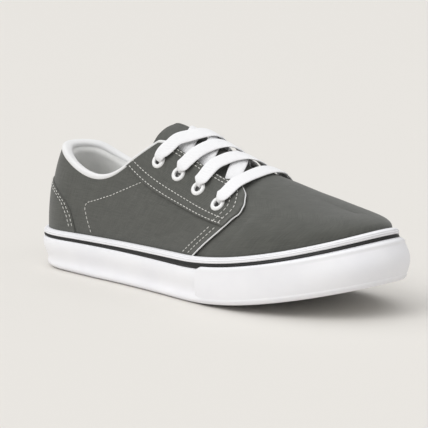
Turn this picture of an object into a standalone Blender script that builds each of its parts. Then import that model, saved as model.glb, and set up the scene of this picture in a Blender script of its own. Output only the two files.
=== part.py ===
"""Skateboarding shoe, right foot: a low lace-up canvas shoe on a thick rubber sole.

+X runs from heel to toe, -Y is the lateral (outer) side, +Z is up, and the sole
stands on Z = 0. A point of the shoe is found by its station, 0 at the heel and 1 at
the toe, and by its climb, 0 where the upper leaves the sole and 1 at its top ridge.
"""
import math
from collections import namedtuple

import bmesh
import bpy
import numpy as np
from mathutils import Matrix, Vector

# Driving sizes, in metres
LENGTH = 0.298
BALL_WIDTH = 0.1075
INSTEP_HEIGHT = 0.1155
HEEL_HEIGHT = 0.089
SOLE_HEIGHT = 0.030
TOE_SPRING = 0.021
ARCH_LIFT = 0.0012
UPPER_WALL = 0.0020
PANEL_THICKNESS = 0.0008
OVERLAY_THICKNESS = 0.0009
FOXING_THICKNESS = 0.0046
FOXING_GAP = 0.0005
HEEL_TUCK = 0.0050
TOE_LEAN = 0.0045
STRIP_HEIGHT = 0.0040
STRIPE_HEIGHT = 0.0032
BUMPER_THICKNESS = 0.0009
OUTSOLE_THICKNESS = 0.0050
MIDSOLE_THICKNESS = 0.0095
INSOLE_THICKNESS = 0.0038
GROOVE_WIDTH = 0.0024
GROOVE_DEPTH = 0.0018
TONGUE_THICKNESS = 0.0050
BINDING_HEIGHT = 0.0044
BINDING_WIDTH = 0.0050
LACE_WIDTH = 0.0092
LACE_THICKNESS = 0.0014
EYELET_DIAMETER = 0.0106
EYELET_BORE = 0.0048
EYELET_BARREL = 0.0064
EYELET_RISE = 0.0011
HOLE_DEPTH = 0.014
INSOLE_GAP = 0.0006
INSOLE_DISH = 0.0010
TONGUE_GAP = 0.0008
TONGUE_CORNER = 0.05
BINDING_PROUD = 0.0006
BINDING_NARROWS = 0.32
BINDING_TAPER = 0.42
LACE_GAP = 0.0008
LACE_OVERLAP = 0.7
LACE_BAR_BULGE = 0.012
BUMPER_START = 0.62
BUMPER_OVERLAP = 0.5
CLEARANCE = 0.0003

# Facets of the loft; behind the foxing the climb runs from 0 down to minus the margin
COLUMNS = 52
SIDE_BIAS = 0.02
SIDE_ROWS = 6
VAMP_ROWS = 3
MARGIN_CLIMB = 0.12
ROUND_SIDES = 12

# The sole's outline seen from above, as shares of the ball width
Outline = namedtuple("Outline", "station half_width centre")
OUTLINE = (
    Outline(0.00, 0.340, 0.000),
    Outline(0.12, 0.345, 0.000),
    Outline(0.25, 0.347, -0.006),
    Outline(0.40, 0.363, -0.016),
    Outline(0.52, 0.405, -0.014),
    Outline(0.64, 0.466, 0.004),
    Outline(0.72, 0.492, 0.024),
    Outline(0.82, 0.498, 0.050),
    Outline(1.00, 0.475, 0.080),
)
HEEL_ROUND = 0.135
HEEL_POWER = 2.25
TOE_ROUND = 0.30
TOE_POWER = 2.15

# The side of the sole from the floor up. Heights are shares of the side below the
# stripe; insets, leans and tucks are shares of the foxing, the toe's lean and the heel's tuck
Wall = namedtuple("Wall", "height inset lean tuck")
FOXING_WALL = (
    Wall(0.026, 0.34, -0.10, 1.00),
    Wall(0.26, 0.10, -0.34, 0.62),
    Wall(0.62, 0.00, -0.45, 0.18),
    Wall(1.00, 0.06, 0.30, 0.00),
)
STRIPE_WALL = Wall(0.00, 0.10, 0.70, 0.00)
STRIP_FOOT = Wall(0.00, 0.12, 0.80, 0.00)
STRIP_SHOULDER = Wall(0.70, 0.42, 0.74, 0.00)
STRIP_TOP = Wall(1.00, 0.745, 0.72, 0.00)
HEEL_TUCK_END = 0.25
TOE_LEAN_START = 0.80

# Sole side height and stripe height along the shoe, as shares of their sizes
Side = namedtuple("Side", "station height stripe")
SIDE_HEIGHTS = (
    Side(0.00, 0.950, 0.56),
    Side(0.30, 0.973, 0.62),
    Side(0.60, 1.000, 1.00),
    Side(1.00, 1.100, 1.00),
)
SPRING_START = 0.57
SPRING_POWER = 1.70
ARCH_START = 0.36
ARCH_END = 0.50

# Cross sections of the upper: the top ridge as shares of the length, the ball width
# and the instep height, and the fullness of the shoulder between sole and ridge
Section = namedtuple("Section", "station ridge_station ridge_centre ridge_height fullness")
SECTIONS = (
    Section(0.00, 0.130, 0.000, 0.970, 2.00),
    Section(0.12, 0.165, 0.000, 0.978, 2.00),
    Section(0.25, 0.262, 0.009, 0.996, 1.90),
    Section(0.38, 0.382, 0.019, 1.000, 1.75),
    Section(0.50, 0.497, 0.028, 0.892, 1.65),
    Section(0.60, 0.597, 0.037, 0.775, 1.66),
    Section(0.70, 0.695, 0.056, 0.680, 1.84),
    Section(0.80, 0.785, 0.074, 0.602, 2.10),
    Section(0.90, 0.850, 0.093, 0.550, 2.30),
    Section(1.00, 0.890, 0.102, 0.528, 2.35),
)

# Top line of the collar: the sum of a share of the heel height and a share of the instep
# height, which carries its front end; the medial side stands higher
Collar = namedtuple("Collar", "station heel instep")
COLLAR = (
    Collar(0.00, 1.028, 0.000),
    Collar(0.05, 1.003, 0.000),
    Collar(0.13, 0.904, 0.000),
    Collar(0.22, 0.752, 0.049),
    Collar(0.30, 0.563, 0.233),
    Collar(0.37, 0.300, 0.556),
    Collar(0.43, 0.000, 0.893),
)
MEDIAL_RISE = 0.020
COLLAR_END = 0.425

# The throat: its edge on the eyestays from the collar to the round front edge on the
# vamp, with the stations of two more columns that round it
THROAT_CLIMB = 0.645
THROAT_START = 0.455
THROAT_ROUND_START = 0.614
THROAT_FRONT = 0.654
THROAT_COLUMNS = (0.631, 0.646)

# Seams on the upper, by station and climb; the vamp seam is read by its climb
Seam = namedtuple("Seam", "station climb")
Front = namedtuple("Front", "climb station")
VAMP_SEAM = (
    Front(-0.12, 0.572),
    Front(0.00, 0.592),
    Front(0.14, 0.633),
    Front(0.25, 0.668),
    Front(0.35, 0.691),
    Front(0.45, 0.705),
    Front(0.54, 0.697),
    Front(0.615, 0.682),
    Front(0.665, 0.658),
)
EYESTAY_SEAM = (
    Seam(0.300, 0.470),
    Seam(0.340, 0.410),
    Seam(0.417, 0.345),
    Seam(0.503, 0.326),
    Seam(0.588, 0.312),
    Seam(0.720, 0.262),
)
EYESTAY_FRONT = 0.676
COUNTER_SEAM = (
    Seam(0.000, 0.290),
    Seam(0.030, 0.280),
    Seam(0.068, 0.248),
    Seam(0.105, 0.205),
    Seam(0.138, 0.155),
    Seam(0.160, 0.090),
    Seam(0.176, 0.000),
)
PANEL_STEP = 0.055

# Eyelets from the top row down, by station and climb
EYELETS = (Seam(0.427, 0.507), Seam(0.495, 0.498), Seam(0.563, 0.482), Seam(0.635, 0.440))

# The tongue's crown above or below the ridge, as shares of the instep height
Crown = namedtuple("Crown", "station lift")
TONGUE_CROWN = (
    Crown(0.410, -0.042),
    Crown(0.460, -0.033),
    Crown(0.500, -0.025),
    Crown(0.530, -0.020),
    Crown(0.560, -0.018),
    Crown(0.590, -0.022),
    Crown(0.620, -0.034),
    Crown(0.650, -0.038),
    Crown(0.680, -0.036),
)
TONGUE_TOP = 0.408
TONGUE_END = 0.675
TONGUE_CLIMB = 0.50
TONGUE_TOP_CLIMB = 0.66

# Lace crossings from the top down and the bar below them: the crown's lift above the
# ridge as a share of the instep height
LACE_CROWNS = (-0.004, 0.006, 0.010)
LACE_BAR_CROWN = 0.014
LACE_EMERGE_CLIMB = 0.71
LACE_EMERGE_SHARE = 0.25

# Grooves across the outsole, by first and last station and count
GROOVES = ((0.08, 0.32, 6), (0.60, 0.86, 7))
GROOVE_EDGE = 0.006


def smooth(rows, column):
    """Natural cubic spline through one named column of a table, by its first column."""
    xs = np.array([row[0] for row in rows])
    ys = np.array([getattr(row, column) for row in rows])
    count = len(xs)
    step = np.diff(xs)
    slope = np.diff(ys) / step
    matrix = np.eye(count)
    right = np.zeros(count)
    for i in range(1, count - 1):
        matrix[i, i - 1:i + 2] = step[i - 1], 2 * (step[i - 1] + step[i]), step[i]
        right[i] = 6 * (slope[i] - slope[i - 1])
    bend = np.linalg.solve(matrix, right)

    def value(x):
        x = np.clip(x, xs[0], xs[-1])
        i = int(np.clip(np.searchsorted(xs, x) - 1, 0, count - 2))
        before = x - xs[i]
        after = xs[i + 1] - x
        curved = (bend[i] * after ** 3 + bend[i + 1] * before ** 3) / (6 * step[i])
        start = ys[i] / step[i] - bend[i] * step[i] / 6
        end = ys[i + 1] / step[i] - bend[i + 1] * step[i] / 6
        return curved + start * after + end * before

    return value


def ease(x):
    """Smooth step from 0 to 1."""
    x = min(max(x, 0.0), 1.0)
    return x * x * (3 - 2 * x)


half_width = smooth(OUTLINE, "half_width")
centre_line = smooth(OUTLINE, "centre")
side_height = smooth(SIDE_HEIGHTS, "height")
stripe_share = smooth(SIDE_HEIGHTS, "stripe")
ridge_station = smooth(SECTIONS, "ridge_station")
ridge_centre = smooth(SECTIONS, "ridge_centre")
ridge_height = smooth(SECTIONS, "ridge_height")
fullness = smooth(SECTIONS, "fullness")
collar_heel = smooth(COLLAR, "heel")
collar_instep = smooth(COLLAR, "instep")
seam_station = smooth(VAMP_SEAM, "station")
tongue_crown = smooth(TONGUE_CROWN, "lift")
eyestay_climb = smooth(EYESTAY_SEAM, "climb")
counter_climb = smooth(COUNTER_SEAM, "climb")

TOE_REACH = -min(row.lean for row in FOXING_WALL) * TOE_LEAN + CLEARANCE + BUMPER_THICKNESS
HEEL_SET = min(row.inset * FOXING_THICKNESS + row.tuck * HEEL_TUCK for row in FOXING_WALL)
SHIFT_X = -(TOE_REACH + HEEL_SET) / 2
CORE_HEIGHT = OUTSOLE_THICKNESS + CLEARANCE + MIDSOLE_THICKNESS
CORE_INSET = FOXING_THICKNESS + FOXING_GAP
PANEL_DEPTH = PANEL_THICKNESS + CLEARANCE


def station(turn):
    """Station of a point on the outline: turn 0 at the heel, pi at the toe."""
    return (1 - math.cos(turn)) / 2


def turn_at(at_station, side):
    """Turn of a station on the lateral (-1) or medial (+1) side."""
    turn = math.acos(1 - 2 * at_station)
    return turn if side < 0 else 2 * math.pi - turn


def raw_outline(turn):
    s = station(turn)
    width = half_width(s) * BALL_WIDTH
    if s < HEEL_ROUND:
        width *= (1 - (1 - s / HEEL_ROUND) ** HEEL_POWER) ** (1 / HEEL_POWER)
    if s > 1 - TOE_ROUND:
        width *= (1 - (1 - (1 - s) / TOE_ROUND) ** TOE_POWER) ** (1 / TOE_POWER)
    side = -1 if math.sin(turn) >= 0 else 1
    return Vector(((s - 0.5) * LENGTH, centre_line(s) * BALL_WIDTH + side * width))


def column_turns():
    """Turns of the loft's columns, closer together along the sides than at the ends."""
    turns = [turn_at(s, side) for s in THROAT_COLUMNS for side in (-1, 1)]
    for i in range(COLUMNS):
        t = 2 * i / COLUMNS
        turns.append(math.pi * (t + SIDE_BIAS * math.sin(2 * math.pi * t)))
    return sorted(turns)


TURNS = column_turns()
WIDEST = [raw_outline(turn).y for turn in TURNS]
SHIFT_Y = -(max(WIDEST) + min(WIDEST)) / 2


def outline(turn, inset=0.0):
    """Outline of the shoe seen from above, moved inwards by the inset."""
    small = 1e-3
    ahead = raw_outline(turn + small) - raw_outline(turn - small)
    outward = Vector((ahead.y, -ahead.x)).normalized()
    return raw_outline(turn) - outward * inset + Vector((SHIFT_X, SHIFT_Y))


def ground(s):
    """Height of the sole's lower edge: the toe spring."""
    rise = min(max((s - SPRING_START) / (1 - SPRING_START), 0), 1)
    return TOE_SPRING * rise ** SPRING_POWER


def side_top(s):
    return side_height(s) * SOLE_HEIGHT


def toe_lean(s):
    return TOE_LEAN * ease((s - TOE_LEAN_START) / (1 - TOE_LEAN_START))


def heel_tuck(s):
    return HEEL_TUCK * max(1 - s / HEEL_TUCK_END, 0)


def sole_point(turn, height, inset):
    """Point of the sole at a height above its lower edge."""
    s = station(turn)
    flat = outline(turn, inset)
    return Vector((flat.x, flat.y, ground(s) + height))


def core_inset(s, height):
    """Inset of the outsole and midsole, which lean in with the heel's tuck."""
    return CORE_INSET + heel_tuck(s) * (1 - 0.9 * height / CORE_HEIGHT)


def feather_inset(s):
    """Inset of the upper where it comes out of the sole."""
    return CORE_INSET + STRIP_TOP.lean * toe_lean(s)


def ridge(s):
    """Point of the top ridge."""
    return Vector((
        (ridge_station(s) - 0.5) * LENGTH + SHIFT_X,
        ridge_centre(s) * BALL_WIDTH + SHIFT_Y,
        ridge_height(s) * INSTEP_HEIGHT,
    ))


def rib(turn, climb):
    """Point of the last's surface; below climb 0 the upper goes down behind the foxing."""
    s = station(turn)
    if climb < 0:
        top = side_top(s)
        bottom = CORE_HEIGHT + CLEARANCE
        share = min(-climb / MARGIN_CLIMB, 1)
        inset = feather_inset(s) * (1 - share) + core_inset(s, CORE_HEIGHT) * share
        return sole_point(turn, top * (1 - share) + bottom * share, inset)
    foot = sole_point(turn, side_top(s), feather_inset(s))
    top = ridge(s)
    power = 2 / fullness(s)
    angle = min(climb, 1) * math.pi / 2
    across = 1 - max(math.cos(angle), 0) ** power
    up = math.sin(angle) ** power
    return foot + Vector((
        (top.x - foot.x) * across,
        (top.y - foot.y) * across,
        (top.z - foot.z) * up,
    ))


def skin(turn, climb, lift=0.0):
    """Point at a lift above the last's surface, along its normal."""
    return rib(turn, climb) + skin_normal(turn, climb) * lift


def skin_normal(turn, climb):
    """Outward direction of the last's surface, level behind the foxing."""
    small = 2e-3
    if climb >= 1:
        ahead = ridge(min(station(turn) + small, 1)) - ridge(station(turn) - small)
        return Vector((-ahead.z, 0, ahead.x)).normalized()
    middle = min(max(climb, 2 * small), 1 - 2 * small)
    along = rib(turn + small, middle) - rib(turn - small, middle)
    up = rib(turn, middle + small) - rib(turn, middle - small)
    normal = along.cross(up)
    if climb <= 0:
        normal.z = 0
    return normal.normalized()


def climb_at_height(turn, height):
    """Climb of the rib where it reaches a height."""
    s = station(turn)
    foot_z = ground(s) + side_top(s)
    share = (height - foot_z) / (ridge_height(s) * INSTEP_HEIGHT - foot_z)
    share = min(max(share, 0), 1)
    return math.asin(share ** (fullness(s) / 2)) * 2 / math.pi


def collar_z(turn):
    s = station(turn)
    medial = ease(s / COLLAR_END) if math.sin(turn) < 0 else 0
    return (collar_heel(s) + MEDIAL_RISE * medial) * HEEL_HEIGHT + collar_instep(s) * INSTEP_HEIGHT


def edge_climb(turn):
    """Climb of the upper's cut edge along the collar, the throat and the vamp's ridge."""
    s = station(turn)
    if s >= THROAT_FRONT:
        return 1.0
    if s > THROAT_ROUND_START:
        share = (s - THROAT_ROUND_START) / (THROAT_FRONT - THROAT_ROUND_START)
        return 1 - (1 - THROAT_CLIMB) * math.sqrt(1 - share ** 2)
    if s > THROAT_START:
        return THROAT_CLIMB
    cut = collar_z(turn) - BINDING_HEIGHT - CLEARANCE
    return min(climb_at_height(turn, cut), THROAT_CLIMB)


def vamp_recess(turn, climb):
    """Depth of the upper's wall below the last's surface, where the quarters cover it."""
    ahead = station(turn) - seam_station(climb) - PANEL_STEP / 2
    above = ease((climb - THROAT_CLIMB) / (1 - THROAT_CLIMB))
    return PANEL_DEPTH * (1 - ease(ahead / PANEL_STEP)) * (1 - above)


def climb_rows(turn):
    """Climbs of one rib of the loft, from behind the foxing to the cut edge."""
    top = edge_climb(turn)
    below = [THROAT_CLIMB * j / SIDE_ROWS for j in range(SIDE_ROWS)]
    above = np.linspace(THROAT_CLIMB, 1, VAMP_ROWS + 1)
    return [-MARGIN_CLIMB] + [min(climb, top) for climb in (*below, *above)]


def material(name, colour, roughness, metallic=0.0):
    made = bpy.data.materials.new(name)
    made.use_nodes = True
    shader = made.node_tree.nodes["Principled BSDF"]
    shader.inputs["Base Color"].default_value = (*colour, 1)
    shader.inputs["Roughness"].default_value = roughness
    shader.inputs["Metallic"].default_value = metallic
    made.diffuse_color = (*colour, 1)
    return made


def new_object(name, mesh, surface=None, kept=True):
    """Object of the shoe, or a hidden cutter."""
    made = bpy.data.objects.new(name, mesh)
    if kept:
        SHOE.objects.link(made)
        mesh.materials.append(surface)
        mesh.shade_smooth()
        mesh.set_sharp_from_angle(angle=math.radians(40))
    else:
        CUTTERS.objects.link(made)
        made.hide_render = True
        made.display_type = "WIRE"
    return made


def loft_mesh(name, rows, wrap_rows=False, wrap_columns=False, caps=False):
    """Surface through rows of points, each row a section of the form."""
    bm = bmesh.new()
    grid = [[bm.verts.new(point) for point in row] for row in rows]
    row_pairs = len(grid) if wrap_rows else len(grid) - 1
    size = len(grid[0])
    column_pairs = size if wrap_columns else size - 1
    for i in range(row_pairs):
        for j in range(column_pairs):
            here = grid[i]
            there = grid[(i + 1) % len(grid)]
            k = (j + 1) % size
            bm.faces.new((here[j], there[j], there[k], here[k]))
    if caps:
        bm.faces.new(grid[0])
        bm.faces.new(grid[-1])
    bmesh.ops.remove_doubles(bm, verts=bm.verts, dist=1e-6)
    if wrap_columns:
        bmesh.ops.recalc_face_normals(bm, faces=bm.faces)
    else:
        # Layers that lie on each other share their diagonals
        bmesh.ops.triangulate(bm, faces=bm.faces, quad_method="FIXED")
    mesh = bpy.data.meshes.new(name)
    bm.to_mesh(mesh)
    bm.free()
    return mesh


def thicken(thing, thickness, offset):
    shell = thing.modifiers.new("Wall", "SOLIDIFY")
    shell.thickness = thickness
    shell.offset = offset
    shell.use_even_offset = True


def cut(thing, cutter, operation="DIFFERENCE"):
    boolean = thing.modifiers.new(operation.title(), "BOOLEAN")
    boolean.operation = operation
    boolean.object = cutter
    boolean.solver = "EXACT"


def cloth_layer(name, surface, lift, thickness, outwards):
    """One layer of the upper over the whole last, from the foxing to the cut edge."""
    rows = []
    for turn in TURNS:
        rows.append([skin(turn, climb, lift(turn, climb)) for climb in climb_rows(turn)])
    made = new_object(name, loft_mesh(name, rows, wrap_rows=True), surface)
    thicken(made, thickness, 1 if outwards else -1)
    return made


def side_cutter(name, outline_points, sides):
    """Form that cuts the shoe along an outline drawn on its side view."""
    reach = BALL_WIDTH
    low = 0 if sides == "medial" else -reach
    high = 0 if sides == "lateral" else reach
    rows = [[Vector((x, y, z)) for x, z in outline_points] for y in (low, high)]
    mesh = loft_mesh(name, rows, wrap_columns=True, caps=True)
    return new_object(name, mesh, kept=False)


def side_view(at_station, climb):
    point = rib(turn_at(at_station, -1), climb)
    return point.x, point.z


def seam_curve(count, first_climb, last_climb):
    """Side view of the vamp seam, from the bottom up."""
    points = []
    for i in range(count + 1):
        climb = first_climb + (last_climb - first_climb) * i / count
        points.append(side_view(seam_station(climb), climb))
    return points


for old in list(bpy.data.objects):
    bpy.data.objects.remove(old)
SHOE = bpy.data.collections.new("skate_shoe")
CUTTERS = bpy.data.collections.new("skate_shoe_cutters")
bpy.context.scene.collection.children.link(SHOE)
bpy.context.scene.collection.children.link(CUTTERS)

WHITE_RUBBER = material("white rubber", (0.80, 0.80, 0.82), 0.45)
BLACK_RUBBER = material("black rubber", (0.015, 0.015, 0.015), 0.5)
GREY_CANVAS = material("grey canvas", (0.125, 0.127, 0.115), 0.85)
WHITE_COTTON = material("white cotton", (0.85, 0.85, 0.86), 0.8)
GREY_LINING = material("grey lining", (0.42, 0.42, 0.42), 0.9)
WHITE_ENAMEL = material("white enamel", (0.86, 0.86, 0.86), 0.35)
MIDSOLE_FOAM = material("midsole foam", (0.62, 0.60, 0.55), 0.8)


def wall_point(turn, low, high, row):
    """Point of the sole's side between two heights, at a row of its profile."""
    s = station(turn)
    inset = FOXING_THICKNESS * row.inset + toe_lean(s) * row.lean + heel_tuck(s) * row.tuck
    return sole_point(turn, low + (high - low) * row.height, inset)


def inner_point(turn, height):
    """Point of the foxing's inner face, a gap outside the core and the upper."""
    s = station(turn)
    if height <= CORE_HEIGHT:
        inset = core_inset(s, height)
    else:
        share = (height - CORE_HEIGHT) / (side_top(s) - CORE_HEIGHT)
        inset = core_inset(s, CORE_HEIGHT) * (1 - share) + feather_inset(s) * share
    return sole_point(turn, height, inset - FOXING_GAP)


def stripe_levels(s):
    """Heights of the stripe's lower and upper edge."""
    top = side_top(s) - STRIP_HEIGHT
    return top - STRIPE_HEIGHT * stripe_share(s), top


def ring(name, section, surface):
    rows = [section(turn) for turn in TURNS]
    return new_object(name, loft_mesh(name, rows, True, True), surface)


# Sole: outsole and midsole inside the foxing
def slab(name, bottom, top, inset, surface, dish=0.0):
    """Flat layer of the sole, from crosswise sections; the dish lowers its middle."""
    rows = []
    for i in range(len(TURNS) // 2 + 1):
        lateral = TURNS[i]
        medial = TURNS[-i]
        s = station(lateral)
        low = [sole_point(turn, bottom(s), inset(s, bottom(s))) for turn in (lateral, medial)]
        high = [sole_point(turn, top, inset(s, top)) for turn in (lateral, medial)]
        width = (high[1] - high[0]).length
        middle = (high[0] + high[1]) / 2 - Vector((0, 0, dish * min(width / (BALL_WIDTH / 2), 1)))
        rows.append([low[0], high[0], middle, high[1], low[1]])
    return new_object(name, loft_mesh(name, rows, wrap_columns=True), surface)


def arch(s):
    """Lift of the outsole's underside between heel and ball."""
    share = (s - ARCH_START) / (ARCH_END - ARCH_START)
    return ARCH_LIFT * math.sin(math.pi * min(max(share, 0), 1)) ** 2


def groove_cutter():
    """Bars that cut the crosswise grooves of the tread."""
    bm = bmesh.new()
    for first, last, count in GROOVES:
        for i in range(count):
            s = first + (last - first) * i / (count - 1)
            half = half_width(s) * BALL_WIDTH - core_inset(s, 0) - GROOVE_EDGE
            slope = math.atan2(ground(s + 0.01) - ground(s - 0.01), 0.02 * LENGTH)
            spot = Matrix.Translation((
                (s - 0.5) * LENGTH + SHIFT_X,
                centre_line(s) * BALL_WIDTH + SHIFT_Y,
                ground(s),
            ))
            size = Matrix.Diagonal((GROOVE_WIDTH, 2 * half, 2 * GROOVE_DEPTH, 1))
            matrix = spot @ Matrix.Rotation(-slope, 4, "Y") @ size
            bmesh.ops.create_cube(bm, size=1, matrix=matrix)
    mesh = bpy.data.meshes.new("tread_grooves")
    bm.to_mesh(mesh)
    bm.free()
    return new_object("tread_grooves", mesh, kept=False)


outsole = slab("outsole", arch, OUTSOLE_THICKNESS, core_inset, WHITE_RUBBER)
cut(outsole, groove_cutter())
slab("midsole", lambda s: OUTSOLE_THICKNESS + CLEARANCE, CORE_HEIGHT, core_inset, MIDSOLE_FOAM)


# Side of the sole: foxing, stripe, strip and toe bumper
def foxing_section(turn):
    low, high = 0, stripe_levels(station(turn))[0] - CLEARANCE
    outer = [wall_point(turn, low, high, row) for row in FOXING_WALL]
    levels = (high, CORE_HEIGHT, FOXING_WALL[0].height * high)
    return outer + [inner_point(turn, level) for level in levels]


def stripe_section(turn):
    low, high = stripe_levels(station(turn))
    outer = [wall_point(turn, level, level, STRIPE_WALL) for level in (low, high)]
    return outer + [inner_point(turn, high), inner_point(turn, low)]


def strip_section(turn):
    low = stripe_levels(station(turn))[1] + CLEARANCE
    high = side_top(station(turn))
    outer = [wall_point(turn, low, high, row) for row in (STRIP_FOOT, STRIP_SHOULDER, STRIP_TOP)]
    return outer + [inner_point(turn, high), inner_point(turn, low)]


def bumper_section(turn):
    """Thin layer over the foxing and the lower half of the stripe at the toe."""
    high = stripe_levels(station(turn))[0] - CLEARANCE
    rise = STRIPE_HEIGHT * BUMPER_OVERLAP
    rows = FOXING_WALL + (STRIPE_WALL._replace(height=1 + rise / high),)
    inner = []
    outer = []
    for row in rows:
        inset = -CLEARANCE / FOXING_THICKNESS + row.inset
        proud = inset - BUMPER_THICKNESS / FOXING_THICKNESS
        inner.append(wall_point(turn, 0, high, row._replace(inset=inset)))
        outer.append(wall_point(turn, 0, high, row._replace(inset=proud)))
    return inner + outer[::-1]


ring("foxing", foxing_section, WHITE_RUBBER)
ring("stripe", stripe_section, BLACK_RUBBER)
ring("foxing_strip", strip_section, WHITE_RUBBER)
bumper_rows = [bumper_section(turn) for turn in TURNS if station(turn) > BUMPER_START]
new_object("toe_bumper", loft_mesh("toe_bumper", bumper_rows, False, True, True), WHITE_RUBBER)


# Upper: one hollow wall, recessed where the quarters lie on it
upper = cloth_layer(
    "upper", GREY_CANVAS, lambda turn, climb: -vamp_recess(turn, climb), UPPER_WALL, False)


# Insole: lies on the midsole inside the upper
def insole_inset(s, height):
    lean = (feather_inset(s) - CORE_INSET) * (height - CORE_HEIGHT) / (side_top(s) - CORE_HEIGHT)
    return core_inset(s, CORE_HEIGHT) + lean + PANEL_DEPTH + UPPER_WALL + INSOLE_GAP


insole_base = CORE_HEIGHT + CLEARANCE
slab("insole", lambda s: insole_base, insole_base + INSOLE_THICKNESS, insole_inset,
     GREY_LINING, INSOLE_DISH)

# Quarters: one layer round the heel, cut along the vamp seam and below the throat
HIGH = 2 * INSTEP_HEIGHT
BACK = -LENGTH
throat_corner = [side_view(s, THROAT_CLIMB + 0.01) for s in (0.640, THROAT_ROUND_START)]
front_edge = seam_curve(14, VAMP_SEAM[0].climb, VAMP_SEAM[-1].climb) + throat_corner
quarter_outline = [(front_edge[0][0], -SOLE_HEIGHT)] + front_edge
quarter_outline += [(front_edge[-1][0], HIGH), (BACK, HIGH), (BACK, -SOLE_HEIGHT)]
quarters = cloth_layer("quarters", GREY_CANVAS, lambda turn, climb: 0.0, PANEL_THICKNESS, False)
cut(quarters, side_cutter("quarter_outline", quarter_outline, "both"), "INTERSECT")

# Eyestays: a layer on each side of the throat, and the counter round the heel
eyestay_foot = eyestay_climb(EYESTAY_FRONT)
eyestay_outline = seam_curve(9, eyestay_foot, VAMP_SEAM[-1].climb) + throat_corner
eyestay_outline += [(eyestay_outline[-1][0], HIGH)]
eyestay_back = EYESTAY_SEAM[0].station
eyestay_outline += [(side_view(eyestay_back, EYESTAY_SEAM[0].climb)[0], HIGH)]
lower_edge = np.linspace(eyestay_back, EYESTAY_FRONT, 10)[:-1]
eyestay_outline += [side_view(s, eyestay_climb(s)) for s in lower_edge]


def overlay(name):
    return cloth_layer(name, GREY_CANVAS, lambda turn, climb: CLEARANCE, OVERLAY_THICKNESS, True)


eyestays = []
for side in ("lateral", "medial"):
    eyestay = overlay("eyestay_" + side)
    cut(eyestay, side_cutter("eyestay_outline_" + side, eyestay_outline, side), "INTERSECT")
    eyestays.append(eyestay)

counter_end = COUNTER_SEAM[-1].station
counter_outline = [side_view(s, counter_climb(s)) for s in np.linspace(0, counter_end, 9)]
counter_outline = [(BACK, counter_outline[0][1])] + counter_outline
foot_x, foot_z = side_view(counter_end, 0)
counter_outline[-1] = (foot_x, foot_z + 2 * CLEARANCE)
counter_outline += [(BACK, side_view(0, 0)[1] + 2 * CLEARANCE)]
counter = overlay("heel_counter")
cut(counter, side_cutter("counter_outline", counter_outline, "both"), "INTERSECT")


# Binding: a soft roll over the cut edge of the collar
def binding_section(turn):
    climb = climb_at_height(turn, collar_z(turn) - BINDING_HEIGHT / 2)
    narrow = ease((station(turn) - BINDING_NARROWS) / (COLLAR_END - BINDING_NARROWS))
    width = BINDING_WIDTH * (1 - narrow * BINDING_TAPER)
    centre = skin(turn, climb, BINDING_PROUD - width / 2)
    normal = skin_normal(turn, climb)
    up = (rib(turn, climb + 0.01) - rib(turn, climb - 0.01)).normalized()
    points = []
    for i in range(8):
        angle = (i + 0.5) * math.pi / 4
        across = math.cos(angle) * width / 2 / math.cos(math.pi / 8)
        rise = math.sin(angle) * BINDING_HEIGHT / 2 / math.cos(math.pi / 8)
        points.append(centre + normal * across + up * rise)
    return points


half_turns = [turn for turn in TURNS if turn < math.pi and station(turn) < COLLAR_END]
half_turns.append(turn_at(COLLAR_END, -1))
binding_turns = [2 * math.pi - turn for turn in half_turns[:0:-1]] + half_turns
binding_rows = [binding_section(turn) for turn in binding_turns]
new_object(
    "collar_binding", loft_mesh("collar_binding", binding_rows, False, True, True), WHITE_COTTON)

# Tongue: a padded flap under the throat, its front end below the vamp
TUCK = PANEL_DEPTH + UPPER_WALL + TONGUE_GAP


def tongue_lift(s, climb):
    """Height of the tongue's face over the last: under the wall at the sides, free inside."""
    crown = tongue_crown(s) * INSTEP_HEIGHT
    share = ease((climb - THROAT_CLIMB - 0.02) / (1 - THROAT_CLIMB - 0.02))
    return -TUCK + (crown + TUCK) * share


def tongue_row(s):
    near_top = 1 - ease((s - TONGUE_TOP) / TONGUE_CORNER)
    low = TONGUE_CLIMB + (TONGUE_TOP_CLIMB - TONGUE_CLIMB) * near_top
    climbs = np.linspace(low, 1, 6)
    lateral = [skin(turn_at(s, -1), climb, tongue_lift(s, climb)) for climb in climbs]
    medial = [skin(turn_at(s, 1), climb, tongue_lift(s, climb)) for climb in climbs[-2::-1]]
    return lateral + medial


tongue_rows = [tongue_row(s) for s in np.linspace(TONGUE_TOP, TONGUE_END, 12)]
tongue = new_object("tongue", loft_mesh("tongue", tongue_rows), GREY_CANVAS)
thicken(tongue, TONGUE_THICKNESS, -1)


# Laces: flat cord, as crossings over the tongue and a bar at the bottom row
def ribbon(name, samples, kept=True):
    """Flat cord through sampled points, each with the direction that it faces."""
    rows = []
    for i, (point, face) in enumerate(samples):
        before = samples[max(i - 1, 0)][0]
        after = samples[min(i + 1, len(samples) - 1)][0]
        ahead = (after - before).normalized()
        across = ahead.cross(face).normalized() * LACE_WIDTH / 2
        up = across.cross(ahead).normalized() * LACE_THICKNESS / 2
        edge = (across + up, across - up, -across - up, up - across)
        rows.append([point + corner for corner in edge])
    mesh = loft_mesh(name, rows, wrap_columns=True, caps=True)
    return new_object(name, mesh, WHITE_COTTON if kept else None, kept)


def lace_path(start, end, lifts, count, over=0.0, bulge=0.0):
    """Samples from one reach over the ridge to the other; a reach is 1 - climb, signed."""
    samples = []
    lift_at = smooth(lifts, "lift")
    for i in range(count + 1):
        share = i / count
        reach = start.reach + (end.reach - start.reach) * share
        s = start.station + (end.station - start.station) * share
        s += bulge * math.sin(math.pi * share)
        turn = turn_at(s, -1 if reach < 0 else 1)
        climb = 1 - abs(reach)
        lift = lift_at(reach)
        if climb > THROAT_CLIMB:
            lift = max(lift, lace_clearance(s, climb) + over)
        samples.append((skin(turn, climb, lift), lace_face(s, reach)))
    return samples


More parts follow.
